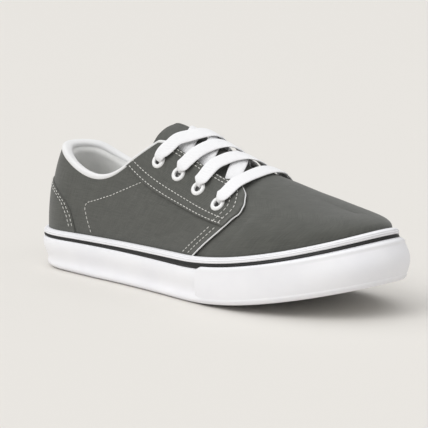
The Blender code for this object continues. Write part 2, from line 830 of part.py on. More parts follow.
def lace_clearance(s, climb):
    """Lift at which the cord's whole width clears the tongue."""
    half = LACE_WIDTH / 2 / LENGTH
    highest = max(tongue_lift(s + aside, climb) for aside in (-half, 0, half))
    return highest + LACE_THICKNESS / 2 + LACE_GAP


def lace_face(s, reach):
    """Direction that the cord faces, turned over smoothly at the ridge."""
    blend = 0.06
    climb = 1 - max(abs(reach), blend)
    sides = [skin_normal(turn_at(s, side), climb) for side in (-1, 1)]
    share = ease((reach / blend + 1) / 2)
    return (sides[0] * (1 - share) + sides[1] * share).normalized()


Lift = namedtuple("Lift", "reach lift")
Reach = namedtuple("Reach", "reach station")
STAY_REACH = 1 - THROAT_CLIMB
STAY_LIFT = CLEARANCE + OVERLAY_THICKNESS + LACE_THICKNESS / 2 + LACE_GAP
EYELET_LIFT = CLEARANCE + OVERLAY_THICKNESS + EYELET_RISE + LACE_THICKNESS / 2 + LACE_GAP


def lace_strand(name, row, side, over, kept):
    """One strand: out from under the eyestay, across, and down to the eyelet above."""
    upper_row, lower_row = EYELETS[row], EYELETS[row + 1]
    emerge = 1 - LACE_EMERGE_CLIMB
    gap = upper_row.station - lower_row.station
    first = Reach(-side * emerge, lower_row.station + gap * LACE_EMERGE_SHARE)
    last = Reach(side * (1 - upper_row.climb), upper_row.station)
    start_lift = lace_clearance(first.station, LACE_EMERGE_CLIMB) + over
    crown = LACE_CROWNS[row] * INSTEP_HEIGHT + over
    lifts = [
        Lift(first.reach, start_lift),
        Lift(0.0, crown),
        Lift(side * STAY_REACH, STAY_LIFT),
        Lift(last.reach, EYELET_LIFT),
    ]
    lifts.sort()
    return ribbon(name, lace_path(first, last, lifts, 10, over), kept)


for row in range(3):
    over = LACE_THICKNESS * LACE_OVERLAP
    crossing = lace_strand("lace_crossing_%d" % (row + 1), row, 1, 0.0, True)
    cut(crossing, lace_strand("lace_strand_%d" % (row + 1), row, -1, over, False), "UNION")

bar_eyelet = EYELETS[-1]
bar_reach = 1 - bar_eyelet.climb
bar_lifts = (
    Lift(-bar_reach, EYELET_LIFT),
    Lift(-STAY_REACH, STAY_LIFT),
    Lift(0.0, LACE_BAR_CROWN * INSTEP_HEIGHT),
    Lift(STAY_REACH, STAY_LIFT),
    Lift(bar_reach, EYELET_LIFT),
)
bar_ends = (Reach(-bar_reach, bar_eyelet.station), Reach(bar_reach, bar_eyelet.station))
ribbon("lace_bar", lace_path(*bar_ends, bar_lifts, 13, bulge=LACE_BAR_BULGE))


# Eyelets: turned rings, each in its hole through eyestay, quarter and wall
def eyelet_profile():
    """Closed profile from the bore over the flange and down the barrel."""
    barrel = EYELET_BARREL / 2
    bore = EYELET_BORE / 2
    rim = EYELET_DIAMETER / 2
    depth = -(OVERLAY_THICKNESS + CLEARANCE + PANEL_DEPTH + UPPER_WALL)
    return (
        (bore, EYELET_RISE * 0.7),
        ((bore + rim) / 2, EYELET_RISE),
        (rim, EYELET_RISE * 0.5),
        (rim, CLEARANCE),
        (barrel, CLEARANCE),
        (barrel, depth),
        (bore, depth),
    )


def eyelet_place(eyelet, side):
    turn = turn_at(eyelet.station, side)
    normal = skin_normal(turn, eyelet.climb)
    point = skin(turn, eyelet.climb, CLEARANCE + OVERLAY_THICKNESS)
    turned = normal.to_track_quat("Z", "Y").to_matrix().to_4x4()
    return Matrix.Translation(point) @ turned


def eyelet_ring(name, place):
    profile = eyelet_profile()
    mesh = bpy.data.meshes.new(name)
    edges = [(i, (i + 1) % len(profile)) for i in range(len(profile))]
    mesh.from_pydata([(x, 0, z) for x, z in profile], edges, [])
    made = new_object(name, mesh, WHITE_ENAMEL)
    made.matrix_world = place
    turned = made.modifiers.new("Turned", "SCREW")
    turned.angle = 2 * math.pi
    turned.steps = ROUND_SIDES
    turned.render_steps = ROUND_SIDES
    turned.use_merge_vertices = True
    turned.merge_threshold = 0.00001


holes = bmesh.new()
for side, side_name in ((-1, "lateral"), (1, "medial")):
    for row, eyelet in enumerate(EYELETS):
        place = eyelet_place(eyelet, side)
        eyelet_ring("eyelet_%s_%d" % (side_name, row + 1), place)
        radius = EYELET_BARREL / 2 + CLEARANCE
        bmesh.ops.create_cone(
            holes, cap_ends=True, segments=ROUND_SIDES, radius1=radius, radius2=radius,
            depth=HOLE_DEPTH, matrix=place)
hole_mesh = bpy.data.meshes.new("eyelet_holes")
holes.to_mesh(hole_mesh)
holes.free()
eyelet_holes = new_object("eyelet_holes", hole_mesh, kept=False)
for holed in (upper, quarters, *eyestays):
    cut(holed, eyelet_holes)
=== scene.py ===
"""Looks of a grey canvas skateboarding shoe, the right one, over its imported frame.

+X runs from heel to toe, -Y is the lateral (outer) side, +Z is up, in metres. A place on
the shoe has a station, 0 at the heel and 1 at the toe, and on the upper a climb, 0 at the
sole and 1 at the ridge over the instep. A turn runs round the shoe from the heel (0) over
the lateral side to the toe (pi) and back along the medial side (2 pi).
"""
import math
from collections import namedtuple

import bpy
import numpy as np
from mathutils import Matrix, Vector


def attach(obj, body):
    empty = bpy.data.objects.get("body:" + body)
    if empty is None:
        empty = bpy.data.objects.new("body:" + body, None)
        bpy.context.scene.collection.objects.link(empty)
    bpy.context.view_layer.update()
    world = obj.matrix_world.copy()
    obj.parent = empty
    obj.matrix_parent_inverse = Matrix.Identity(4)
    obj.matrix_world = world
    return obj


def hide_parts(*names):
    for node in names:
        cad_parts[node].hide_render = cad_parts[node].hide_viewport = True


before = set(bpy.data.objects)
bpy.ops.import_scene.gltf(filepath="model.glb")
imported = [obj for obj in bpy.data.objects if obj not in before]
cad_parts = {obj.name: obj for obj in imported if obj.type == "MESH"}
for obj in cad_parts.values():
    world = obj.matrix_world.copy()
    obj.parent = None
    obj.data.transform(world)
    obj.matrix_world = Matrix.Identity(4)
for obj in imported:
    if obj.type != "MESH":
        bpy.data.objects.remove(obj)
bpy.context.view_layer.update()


# Outsole and midsole
# The outsole is a moulded white rubber plate with crosswise grooves, the midsole a foamed
# rubber core. Both are cemented inside the side band and keep their built forms.
LENGTH = 0.298
BALL_WIDTH = 0.1075
TAU = 2 * math.pi


def linear(colour):
    """Linear colour of an sRGB hex value."""
    parts = [int(colour[i:i + 2], 16) / 255 for i in (1, 3, 5)]
    return (*[c / 12.92 if c <= 0.04045 else ((c + 0.055) / 1.055) ** 2.4 for c in parts], 1)


def add(tree, kind, inputs, **settings):
    """Adds a shader node with its settings; an input is a value or another node's socket."""
    made = tree.nodes.new("ShaderNode" + kind)
    for name, value in settings.items():
        setattr(made, name, value)
    for name, value in inputs.items():
        if isinstance(value, bpy.types.NodeSocket):
            tree.links.new(value, made.inputs[name])
        else:
            made.inputs[name].default_value = value
    return made


def surface(name, colour, roughness):
    """Material with its Principled shader, node tree and the shader's own constants."""
    made = bpy.data.materials.new(name)
    made.use_nodes = True
    made.diffuse_color = linear(colour)
    tree = made.node_tree
    shader = tree.nodes["Principled BSDF"]
    shader.inputs["Base Color"].default_value = linear(colour)
    shader.inputs["Roughness"].default_value = roughness
    return made, tree, shader


def rubber(name, colour, dull_colour, roughness, grain_mm):
    """Moulded or vulcanised rubber: satin, with the fine grain of the mould or the wrapping
    cloth, so that it takes no sharp highlight."""
    made, tree, shader = surface(name, colour, roughness)
    place = add(tree, "TexCoord", {}).outputs["Object"]
    # faintly yellowed clouds, some 26 mm across
    cloud = add(tree, "TexNoise", {"Vector": place, "Scale": 38.0, "Detail": 3.0})
    tone = add(tree, "ValToRGB", {"Fac": cloud.outputs["Fac"]})
    tone.color_ramp.elements[0].position = 0.30
    tone.color_ramp.elements[0].color = linear(dull_colour)
    tone.color_ramp.elements[1].position = 0.62
    tone.color_ramp.elements[1].color = linear(colour)
    tree.links.new(tone.outputs["Color"], shader.inputs["Base Color"])
    grain = add(tree, "TexNoise", {"Vector": place, "Scale": 1000 / grain_mm, "Detail": 2.0})
    polish = add(tree, "MapRange", {
        "Value": grain.outputs["Fac"], "To Min": roughness - 0.05, "To Max": roughness + 0.08})
    tree.links.new(polish.outputs["Result"], shader.inputs["Roughness"])
    relief = add(tree, "Bump", {"Height": grain.outputs["Fac"], "Strength": 0.10, "Distance": 0.0002})
    tree.links.new(relief.outputs["Normal"], shader.inputs["Normal"])
    return made


tread_rubber = rubber("moulded tread rubber", "#E2E2E3", "#D6D6D6", 0.55, 0.8)
midsole_rubber = rubber("foamed rubber", "#CFCBC0", "#C2BEB2", 0.75, 1.2)
for node, made in (("outsole", tread_rubber), ("midsole", midsole_rubber)):
    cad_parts[node].data.materials.clear()
    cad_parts[node].data.materials.append(made)


# Foxing
# The band of white rubber wrapped round the sole's side, 4.6 mm thick. It is cut from sheet,
# laid over the midsole's edge by hand and vulcanised, so its corners are soft.
SOLE_HEIGHT = 0.030
TOE_SPRING = 0.021
HEEL_TUCK = 0.0050
TOE_LEAN = 0.0045
STRIP_HEIGHT = 0.0040
STRIPE_HEIGHT = 0.0032
FOXING_THICKNESS = 0.0046
FOXING_GAP = 0.0005
BUMPER_THICKNESS = 0.0009
CORE_HEIGHT = 0.0148
CORE_INSET = FOXING_THICKNESS + FOXING_GAP
CLEARANCE = 0.0003
# Share of the heel's tuck that is gone at the core's top, and of the toe's lean that the
# upper's foot follows
TUCK_FADE = 0.9
FEATHER_LEAN = 0.72
ROUND = 360

# The sole seen from above, as shares of the ball's width
Outline = namedtuple("Outline", "station half_width centre")
OUTLINE = (
    Outline(0.00, 0.340, 0.000),
    Outline(0.12, 0.345, 0.000),
    Outline(0.25, 0.347, -0.006),
    Outline(0.40, 0.363, -0.016),
    Outline(0.52, 0.405, -0.014),
    Outline(0.64, 0.466, 0.004),
    Outline(0.72, 0.492, 0.024),
    Outline(0.82, 0.498, 0.050),
    Outline(1.00, 0.475, 0.080),
)
HEEL_ROUND = 0.135
HEEL_POWER = 2.25
TOE_ROUND = 0.30
TOE_POWER = 2.15

# Section of the wall: inset as a share of the band's thickness, and how far each row
# follows the toe's lean and the heel's tuck
Wall = namedtuple("Wall", "height inset lean tuck")
FOXING_WALL = (
    Wall(0.000, 0.62, -0.06, 1.04),
    Wall(0.030, 0.30, -0.10, 1.00),
    Wall(0.26, 0.10, -0.34, 0.62),
    Wall(0.62, 0.00, -0.45, 0.18),
    Wall(0.94, 0.03, 0.24, 0.00),
    Wall(1.00, 0.14, 0.30, 0.00),
)
TOE_FULLNESS = 0.45
HEEL_FLATNESS = 0.06
TOE_REACH = TOE_FULLNESS * TOE_LEAN + CLEARANCE + BUMPER_THICKNESS
HEEL_SET = HEEL_FLATNESS * FOXING_THICKNESS
HEEL_TUCK_END = 0.25
TOE_LEAN_START = 0.80
SPRING_START = 0.57
SPRING_POWER = 1.70

# The side's height as a share of the sole's, and the stripe's as a share of its own
Side = namedtuple("Side", "station height stripe")
SIDE_HEIGHTS = (
    Side(0.00, 0.950, 0.56),
    Side(0.30, 0.973, 0.62),
    Side(0.60, 1.000, 1.00),
    Side(1.00, 1.100, 1.00),
)


def smooth(rows, column):
    """Natural cubic spline through one named column of a table, by its first column."""
    xs = np.array([row[0] for row in rows])
    ys = np.array([getattr(row, column) for row in rows])
    count = len(xs)
    step = np.diff(xs)
    slope = np.diff(ys) / step
    matrix = np.eye(count)
    right = np.zeros(count)
    for i in range(1, count - 1):
        matrix[i, i - 1:i + 2] = step[i - 1], 2 * (step[i - 1] + step[i]), step[i]
        right[i] = 6 * (slope[i] - slope[i - 1])
    bend = np.linalg.solve(matrix, right)

    def value(x):
        x = np.clip(x, xs[0], xs[-1])
        i = np.clip(np.searchsorted(xs, x) - 1, 0, count - 2)
        before = x - xs[i]
        after = xs[i + 1] - x
        curved = (bend[i] * after ** 3 + bend[i + 1] * before ** 3) / (6 * step[i])
        start = ys[i] / step[i] - bend[i] * step[i] / 6
        end = ys[i + 1] / step[i] - bend[i + 1] * step[i] / 6
        return curved + start * after + end * before

    return value


def ease(x):
    """Smooth step from 0 to 1."""
    x = np.clip(x, 0, 1)
    return x * x * (3 - 2 * x)


half_width = smooth(OUTLINE, "half_width")
centre_line = smooth(OUTLINE, "centre")
side_height = smooth(SIDE_HEIGHTS, "height")
stripe_share = smooth(SIDE_HEIGHTS, "stripe")


def unit(vectors):
    return vectors / np.linalg.norm(vectors, axis=-1, keepdims=True)


def station(turn):
    return (1 - np.cos(turn)) / 2


def turn_at(at_station, side):
    """Turn of a station on the lateral (-1) or medial (+1) side."""
    turn = np.arccos(1 - 2 * np.asarray(at_station))
    return np.where(np.asarray(side) < 0, turn, TAU - turn)


def raw_outline(turn):
    s = station(turn)
    heel = np.clip(1 - s / HEEL_ROUND, 0, 1)
    toe = np.clip(1 - (1 - s) / TOE_ROUND, 0, 1)
    width = half_width(s) * BALL_WIDTH
    width = width * (1 - heel ** HEEL_POWER) ** (1 / HEEL_POWER)
    width = width * (1 - toe ** TOE_POWER) ** (1 / TOE_POWER)
    side = np.where(np.sin(turn) >= 0, -1, 1)
    return np.stack([(s - 0.5) * LENGTH, centre_line(s) * BALL_WIDTH + side * width], -1)


round_turns = np.linspace(0, TAU, ROUND + 1)
widest = raw_outline(round_turns)[:, 1]
SHIFT = np.array([-(TOE_REACH + HEEL_SET) / 2, -(widest.max() + widest.min()) / 2])


def outline(turn, inset):
    """Outline of the shoe seen from above, moved inwards by the inset."""
    small = 1e-3
    ahead = unit(raw_outline(turn + small) - raw_outline(turn - small))
    outward = np.stack([ahead[..., 1], -ahead[..., 0]], -1)
    return raw_outline(turn) - outward * np.asarray(inset)[..., None] + SHIFT


def ground(s):
    return TOE_SPRING * np.clip((s - SPRING_START) / (1 - SPRING_START), 0, 1) ** SPRING_POWER


def side_top(s):
    return side_height(s) * SOLE_HEIGHT


def toe_lean(s):
    return TOE_LEAN * ease((s - TOE_LEAN_START) / (1 - TOE_LEAN_START))


def heel_tuck(s):
    return HEEL_TUCK * np.clip(1 - s / HEEL_TUCK_END, 0, 1)


def sole_point(turn, height, inset):
    """Point of the sole at a height above its lower edge."""
    flat = outline(turn, inset + 0 * turn)
    return np.concatenate([flat, (ground(station(turn)) + height)[..., None]], -1)


def core_inset(s, height):
    return CORE_INSET + heel_tuck(s) * (1 - TUCK_FADE * height / CORE_HEIGHT)


def feather_inset(s):
    """Inset of the upper's foot, where the canvas meets the sole's top edge."""
    return CORE_INSET + FEATHER_LEAN * toe_lean(s)


def inner_point(turn, height):
    """Point of the band's inner face, against the core and the upper."""
    s = station(turn)
    share = np.clip((height - CORE_HEIGHT) / (side_top(s) - CORE_HEIGHT), 0, 1)
    low = core_inset(s, np.minimum(height, CORE_HEIGHT))
    return sole_point(turn, height, low * (1 - share) + feather_inset(s) * share - FOXING_GAP)


def wall_point(turn, low, high, height, inset, lean, tuck):
    """Point of the band's outer wall, its height a share between the low and high edge."""
    s = station(turn)
    depth = FOXING_THICKNESS * inset + toe_lean(s) * lean + heel_tuck(s) * tuck
    return sole_point(turn, low + (high - low) * height, depth)


def stripe_levels(s):
    """Lower and upper edge of the black stripe."""
    top = side_top(s) - STRIP_HEIGHT
    return top - STRIPE_HEIGHT * stripe_share(s), top


def patch(name, across, along, place, made_of=None):
    """Grid primitive laid out by place(u, v); its UV map measures the cloth in metres."""
    bpy.ops.object.select_all(action="DESELECT")
    bpy.ops.mesh.primitive_grid_add(x_subdivisions=across, y_subdivisions=along, size=1)
    made = bpy.context.object
    made.name = made.data.name = name
    mesh = made.data
    flat = np.empty(len(mesh.vertices) * 3)
    mesh.vertices.foreach_get("co", flat)
    flat = flat.reshape(-1, 3)
    points = place(flat[:, 0] + 0.5, flat[:, 1] + 0.5)
    mesh.vertices.foreach_set("co", np.ascontiguousarray(points, dtype=np.float32).ravel())
    grid = points.reshape(along + 1, across + 1, 3)
    sideways = np.linalg.norm(np.diff(grid, axis=1), axis=-1)[(along + 1) // 2]
    upwards = np.linalg.norm(np.diff(grid, axis=0), axis=-1)
    width = np.concatenate([[0], np.cumsum(sideways)])
    height = np.concatenate([np.zeros((1, across + 1)), np.cumsum(upwards, axis=0)])
    flat_size = np.stack([np.broadcast_to(width, height.shape), height], -1).reshape(-1, 2)
    corner = np.empty(len(mesh.loops), dtype=np.int32)
    mesh.loops.foreach_get("vertex_index", corner)
    mesh.uv_layers.active.data.foreach_set("uv", flat_size[corner].astype(np.float32).ravel())
    mesh.update()
    if made_of:
        mesh.materials.append(made_of)
    bpy.ops.object.shade_smooth()
    return made


def pick(*pieces):
    """Selects these pieces alone, with the first one active."""
    bpy.ops.object.select_all(action="DESELECT")
    for piece in pieces:
        piece.select_set(True)
    bpy.context.view_layer.objects.active = pieces[0]


def modify(made, kind, **settings):
    """Adds a modifier and applies it."""
    pick(made)
    added = made.modifiers.new(kind.title(), kind)
    for name, value in settings.items():
        setattr(added, name, value)
    bpy.ops.object.modifier_apply(modifier=added.name)


def close_seam(made, cap_ends=False):
    """Merges a grid's meeting edges into one closed form that faces outwards."""
    pick(made)
    bpy.ops.object.mode_set(mode="EDIT")
    bpy.ops.mesh.select_all(action="SELECT")
    bpy.ops.mesh.remove_doubles(threshold=1e-6)
    if cap_ends:
        bpy.ops.mesh.select_all(action="DESELECT")
        bpy.ops.mesh.select_non_manifold()
        bpy.ops.mesh.fill_holes(sides=0)
        bpy.ops.mesh.select_all(action="SELECT")
    bpy.ops.mesh.normals_make_consistent(inside=False)
    bpy.ops.object.mode_set(mode="OBJECT")


def finish_piece(made, slot, *nodes):
    """Puts the piece on the shoe's body, in the place of the solids named. The slot is not used."""
    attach(made, "root")
    if nodes:
        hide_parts(*nodes)


def band(name, outer, inner, levels, made_of):
    """Ring round the sole: outer wall rows from the floor up, then the inner face."""
    rows = [*outer, *inner, outer[0]]

    def place(u, v):
        turn = TAU * u
        low, high = levels(station(turn))
        index = np.rint(v * (len(rows) - 1)).astype(int)
        points = np.empty((len(u), 3))
        for k, row in enumerate(rows):
            here = index == k
            if isinstance(row, float):
                points[here] = inner_point(turn[here], (low + (high - low) * row)[here])
            else:
                points[here] = wall_point(turn[here], low[here], high[here], *row)
        return points

    made = patch(name, ROUND, len(rows) - 1, place, made_of)
    close_seam(made)
    return made


def wall_rows(table, count):
    """Rows between a table's rows, on its smooth curve."""
    heights = np.linspace(table[0].height, table[-1].height, count)
    heights = np.unique(np.concatenate([heights, [row.height for row in table]]))
    columns = [smooth(table, column)(heights) for column in ("inset", "lean", "tuck")]
    return [Wall(*row) for row in zip(heights, *columns)]


white_rubber = rubber("white vulcanised rubber", "#F9F9FC", "#F4F4F8", 0.42, 0.6)
foxing = band(
    "foxing", wall_rows(FOXING_WALL, 18), (1.0, 0.6, 0.02),
    lambda s: (0 * s, stripe_levels(s)[0] - CLEARANCE), white_rubber)
finish_piece(foxing, "white_rubber", "foxing")


# Stripe
# A thin black rubber line laid into the side above the foxing by hand and vulcanised with
# it. It is wider ahead of the ball, where the bumper starts.
black_rubber = rubber("black rubber strip", "#1B1B1B", "#111111", 0.5, 0.6)
STRIPE_WALL = (Wall(0.0, 0.15, 0.60, 0.0), Wall(0.5, 0.10, 0.70, 0.0), Wall(1.0, 0.16, 0.75, 0.0))
stripe = band("stripe", STRIPE_WALL, (1.0, 0.0), stripe_levels, black_rubber)
finish_piece(stripe, "black_rubber", "stripe")

# Top strip
# A narrow white rubber strip that covers the joint of canvas and sole. Two fine grooves run
# along it, rolled into the sheet before it was cut, and its top edge is rounded over.
STRIP_WALL = (
    Wall(0.00, 0.22, 0.78, 0.0),
    Wall(0.07, 0.10, 0.80, 0.0),
    Wall(0.24, 0.07, 0.79, 0.0),
    Wall(0.33, 0.09, 0.78, 0.0),
    Wall(0.38, 0.17, 0.77, 0.0),
    Wall(0.43, 0.11, 0.76, 0.0),
    Wall(0.56, 0.13, 0.75, 0.0),
    Wall(0.65, 0.18, 0.74, 0.0),
    Wall(0.70, 0.27, 0.74, 0.0),
    Wall(0.75, 0.24, 0.74, 0.0),
    Wall(0.88, 0.36, 0.73, 0.0),
    Wall(0.96, 0.54, 0.72, 0.0),
    Wall(1.00, 0.80, 0.72, 0.0),
)
foxing_strip = band(
    "foxing_strip", STRIP_WALL, (1.0, 0.0),
    lambda s: (stripe_levels(s)[1] + CLEARANCE, side_top(s)), white_rubber)
finish_piece(foxing_strip, "white_rubber", "foxing_strip")

# Toe bumper
# A second thin sheet of white rubber cemented round the toe. Its ends start with a short
# slant below the stripe, and its upper edge then covers more than half of the stripe.
BUMPER_START = 0.62
BUMPER_SLANT = 0.022
BUMPER_OVERLAP = 0.6
BUMPER_ROUNDING = 0.05
EDGE_THICKNESS = 0.35
START_THICKNESS = 0.12
OVER_STRIPE = Wall(1.0, 0.10, 0.70, 0.0)


def bumper_place(u, v):
    first = float(turn_at(BUMPER_START, -1))
    turn = first + (TAU - 2 * first) * u
    s = station(turn)
    started = ease((s - BUMPER_START) / BUMPER_SLANT)
    high = stripe_levels(s)[0] - CLEARANCE
    top = 1 + STRIPE_HEIGHT * BUMPER_OVERLAP / high * started
    outside = v <= 0.5
    climb = np.where(outside, v * 2, 2 - 2 * v)
    height = FOXING_WALL[1].height + (top - FOXING_WALL[1].height) * climb
    lid = ease((height - 1) / (top - 1 + 1e-9))
    inset, lean, tuck = [
        smooth(FOXING_WALL[1:5], column)(height) for column in ("inset", "lean", "tuck")]
    lean = lean * (1 - lid) + OVER_STRIPE.lean * lid
    inset = inset * (1 - lid) + OVER_STRIPE.inset * lid
    rounded = np.clip(np.minimum(climb, 1 - climb) / BUMPER_ROUNDING, 0, 1)
    swell = np.sqrt(rounded * (2 - rounded))
    thick = BUMPER_THICKNESS * (EDGE_THICKNESS + (1 - EDGE_THICKNESS) * swell)
    thick = thick * (START_THICKNESS + (1 - START_THICKNESS) * started)
    proud = np.where(outside, thick + CLEARANCE, CLEARANCE / 2)
    return wall_point(turn, 0 * s, high, height, inset - proud / FOXING_THICKNESS, lean, tuck)


toe_bumper = patch("toe_bumper", 260, 60, bumper_place, white_rubber)
close_seam(toe_bumper)
finish_piece(toe_bumper, "white_rubber", "toe_bumper")


# Lining
# Light grey twill against the foot, over foam that pads the collar inside: a soft swell
# below the top line, strongest at the heel. Its top edge is sewn in under the binding.
INSTEP_HEIGHT = 0.1155
HEEL_HEIGHT = 0.089
UPPER_WALL = 0.0020
PANEL_THICKNESS = 0.0008
OVERLAY_THICKNESS = 0.0009
PANEL_DEPTH = PANEL_THICKNESS + CLEARANCE
MARGIN_CLIMB = 0.12
COLLAR_END = 0.425
MEDIAL_RISE = 0.020
THROAT_CLIMB = 0.645
THROAT_START = 0.455
THROAT_ROUND_START = 0.614
THROAT_FRONT = 0.654
CORNER_STATION = 0.392
CORNER_LENGTH = 0.058
CORNER_CUT = 0.034

# Half sections of the last: where the ridge lies along the shoe, across it as a share of the
# ball's width and up as a share of the instep's height, and how full the side is
Section = namedtuple("Section", "station ridge_station ridge_centre ridge_height fullness")
SECTIONS = (
    Section(0.00, 0.130, 0.000, 0.970, 2.00),
    Section(0.12, 0.165, 0.000, 0.978, 2.00),
    Section(0.25, 0.262, 0.009, 0.996, 1.90),
    Section(0.38, 0.382, 0.019, 1.000, 1.75),
    Section(0.50, 0.497, 0.028, 0.892, 1.65),
    Section(0.60, 0.597, 0.037, 0.775, 1.66),
    Section(0.70, 0.695, 0.056, 0.680, 1.84),
    Section(0.80, 0.785, 0.074, 0.602, 2.10),
    Section(0.90, 0.850, 0.093, 0.550, 2.30),
    Section(1.00, 0.890, 0.102, 0.528, 2.35),
)
# The collar's top line, as shares of the heel's height
Collar = namedtuple("Collar", "station height")
COLLAR = (
    Collar(0.00, 1.028),
    Collar(0.05, 1.003),
    Collar(0.13, 0.904),
    Collar(0.22, 0.816),
    Collar(0.30, 0.865),
    Collar(0.37, 1.022),
    Collar(0.43, 1.159),
)

# Soft troughs (-) and ridges (+) where the canvas has settled: centre, half sizes along
# the station and the climb, slant of station with climb, and depth in millimetres
Fold = namedtuple("Fold", "side station climb length width slant depth")
FOLDS = (
    Fold(-1, 0.765, 0.72, 0.020, 0.30, 0.05, -0.08),
    Fold(-1, 0.805, 0.66, 0.022, 0.28, 0.05, 0.06),
    Fold(1, 0.770, 0.72, 0.020, 0.30, 0.05, -0.08),
    Fold(1, 0.810, 0.66, 0.022, 0.26, 0.05, 0.06),
    Fold(-1, 0.715, 0.24, 0.014, 0.16, 0.10, -0.50),
    Fold(-1, 0.330, 0.30, 0.060, 0.055, 0.30, -0.70),
    Fold(-1, 0.290, 0.44, 0.070, 0.060, 0.20, 0.60),
    Fold(1, 0.310, 0.36, 0.060, 0.060, 0.25, -0.60),
    Fold(-1, 0.520, 0.15, 0.040, 0.070, 0.40, -0.50),
    Fold(-1, 0.450, 0.22, 0.050, 0.060, 0.40, 0.40),
    Fold(1, 0.500, 0.20, 0.045, 0.070, 0.40, -0.55),
    Fold(-1, 0.130, 0.42, 0.035, 0.050, 0.20, -0.60),
    Fold(1, 0.120, 0.45, 0.035, 0.050, 0.20, -0.60),
)

RIDGE_START = 0.985

ridge_station = smooth(SECTIONS, "ridge_station")
ridge_centre = smooth(SECTIONS, "ridge_centre")
ridge_height = smooth(SECTIONS, "ridge_height")
fullness = smooth(SECTIONS, "fullness")
collar_height = smooth(COLLAR, "height")


def ridge(s):
    """Point of the last's ridge, where both sides meet over the foot."""
    return np.stack([
        (ridge_station(s) - 0.5) * LENGTH + SHIFT[0],
        ridge_centre(s) * BALL_WIDTH + SHIFT[1],
        ridge_height(s) * INSTEP_HEIGHT,
    ], -1)


def rib(turn, climb):
    """Point of the last's surface; below climb 0 the upper goes down behind the foxing."""
    turn, climb = np.broadcast_arrays(np.asarray(turn, float), np.asarray(climb, float))
    s = station(turn)
    foot = sole_point(turn, side_top(s), feather_inset(s))
    power = 2 / fullness(s)
    angle = np.clip(climb, 0, 1) * math.pi / 2
    across = 1 - np.maximum(np.cos(angle), 0) ** power
    up = np.sin(angle) ** power
    above = foot + (ridge(s) - foot) * np.stack([across, across, up], -1)
    share = np.clip(-climb / MARGIN_CLIMB, 0, 1)
    inset = feather_inset(s) * (1 - share) + core_inset(s, CORE_HEIGHT) * share
    height = side_top(s) * (1 - share) + (CORE_HEIGHT + CLEARANCE) * share
    return np.where((climb < 0)[..., None], sole_point(turn, height, inset), above)


def skin_normal(turn, climb):
    """Outward direction of the last's surface, level at its foot and upright at the ridge."""
    small = 2e-3
    turn, climb = np.broadcast_arrays(np.asarray(turn, float), np.asarray(climb, float))
    middle = np.clip(climb, 2 * small, 1 - 2 * small)
    along = rib(turn + small, middle) - rib(turn - small, middle)
    normal = np.cross(along, rib(turn, middle + small) - rib(turn, middle - small))
    normal[..., 2] = np.where(climb <= 0, 0, normal[..., 2])
    blend = ease((climb - RIDGE_START) / (1 - RIDGE_START))[..., None]
    return unit(unit(normal) * (1 - blend) + np.array([0, 0, 1]) * blend)


def folds(turn, climb):
    """Lift of the canvas by its soft troughs and ridges."""
    s = station(turn)
    side = np.where(np.sin(turn) >= 0, -1, 1)
    lift = 0 * s
    for fold in FOLDS:
        away = climb - fold.climb
        along = (s - fold.station - fold.slant * away) / fold.length
        shape = np.exp(-along ** 2 - (away / fold.width) ** 2)
        lift = lift + np.where(side == fold.side, shape, 0) * fold.depth / 1000
    return lift


def skin(turn, climb, lift=0.0):
    """Point at a lift above the canvas's settled surface."""
    turn, climb = np.broadcast_arrays(np.asarray(turn, float), np.asarray(climb, float))
    lift = lift + folds(turn, climb)
    return rib(turn, climb) + skin_normal(turn, climb) * lift[..., None]


def climb_at_height(turn, height):
    """Climb at which the last's surface reaches a height above the floor."""
    s = station(turn)
    foot_z = ground(s) + side_top(s)
    share = np.clip((height - foot_z) / (ridge_height(s) * INSTEP_HEIGHT - foot_z), 0, 1)
    return np.arcsin(share ** (fullness(s) / 2)) * 2 / math.pi


def collar_z(turn):
    """Height of the collar's top line, a little higher on the medial side."""
    s = station(turn)
    medial = np.where(np.sin(turn) < 0, ease(s / COLLAR_END), 0)
    return (collar_height(s) + MEDIAL_RISE * medial) * HEEL_HEIGHT


# Size of the collar's bound edge, across the wall and upright
Roll = namedtuple("Roll", "station width height")
BINDING = (
    Roll(0.00, 0.0082, 0.0058),
    Roll(0.06, 0.0078, 0.0056),
    Roll(0.15, 0.0062, 0.0050),
    Roll(0.25, 0.0050, 0.0042),
    Roll(0.34, 0.0040, 0.0030),
    Roll(0.44, 0.0034, 0.0024),
)
# The cut edge lies this share of the roll's height below its top
CUT_DEPTH = 0.85
roll_width = smooth(BINDING, "width")
roll_height = smooth(BINDING, "height")


def throat_corner(s):
    """Climb of the throat's line, lowered at its back end by the eyestay's cut corner."""
    return THROAT_CLIMB - CORNER_CUT * (1 - ease((s - CORNER_STATION) / CORNER_LENGTH))


def edge_climb(turn):
    """Climb of the upper's cut edge along the collar, the throat and the vamp's ridge."""
    s = station(turn)
    share = np.clip((s - THROAT_ROUND_START) / (THROAT_FRONT - THROAT_ROUND_START), 0, 1)
    front = 1 - (1 - THROAT_CLIMB) * np.sqrt(1 - share ** 2)
    cut = climb_at_height(turn, collar_z(turn) - roll_height(s) * CUT_DEPTH)
    collar = np.minimum(cut, throat_corner(s))
    return np.where(s > THROAT_START, front, collar)


# A wave texture of this scale repeats once a millimetre over lengths in metres
WAVE_PER_MM = 314.16


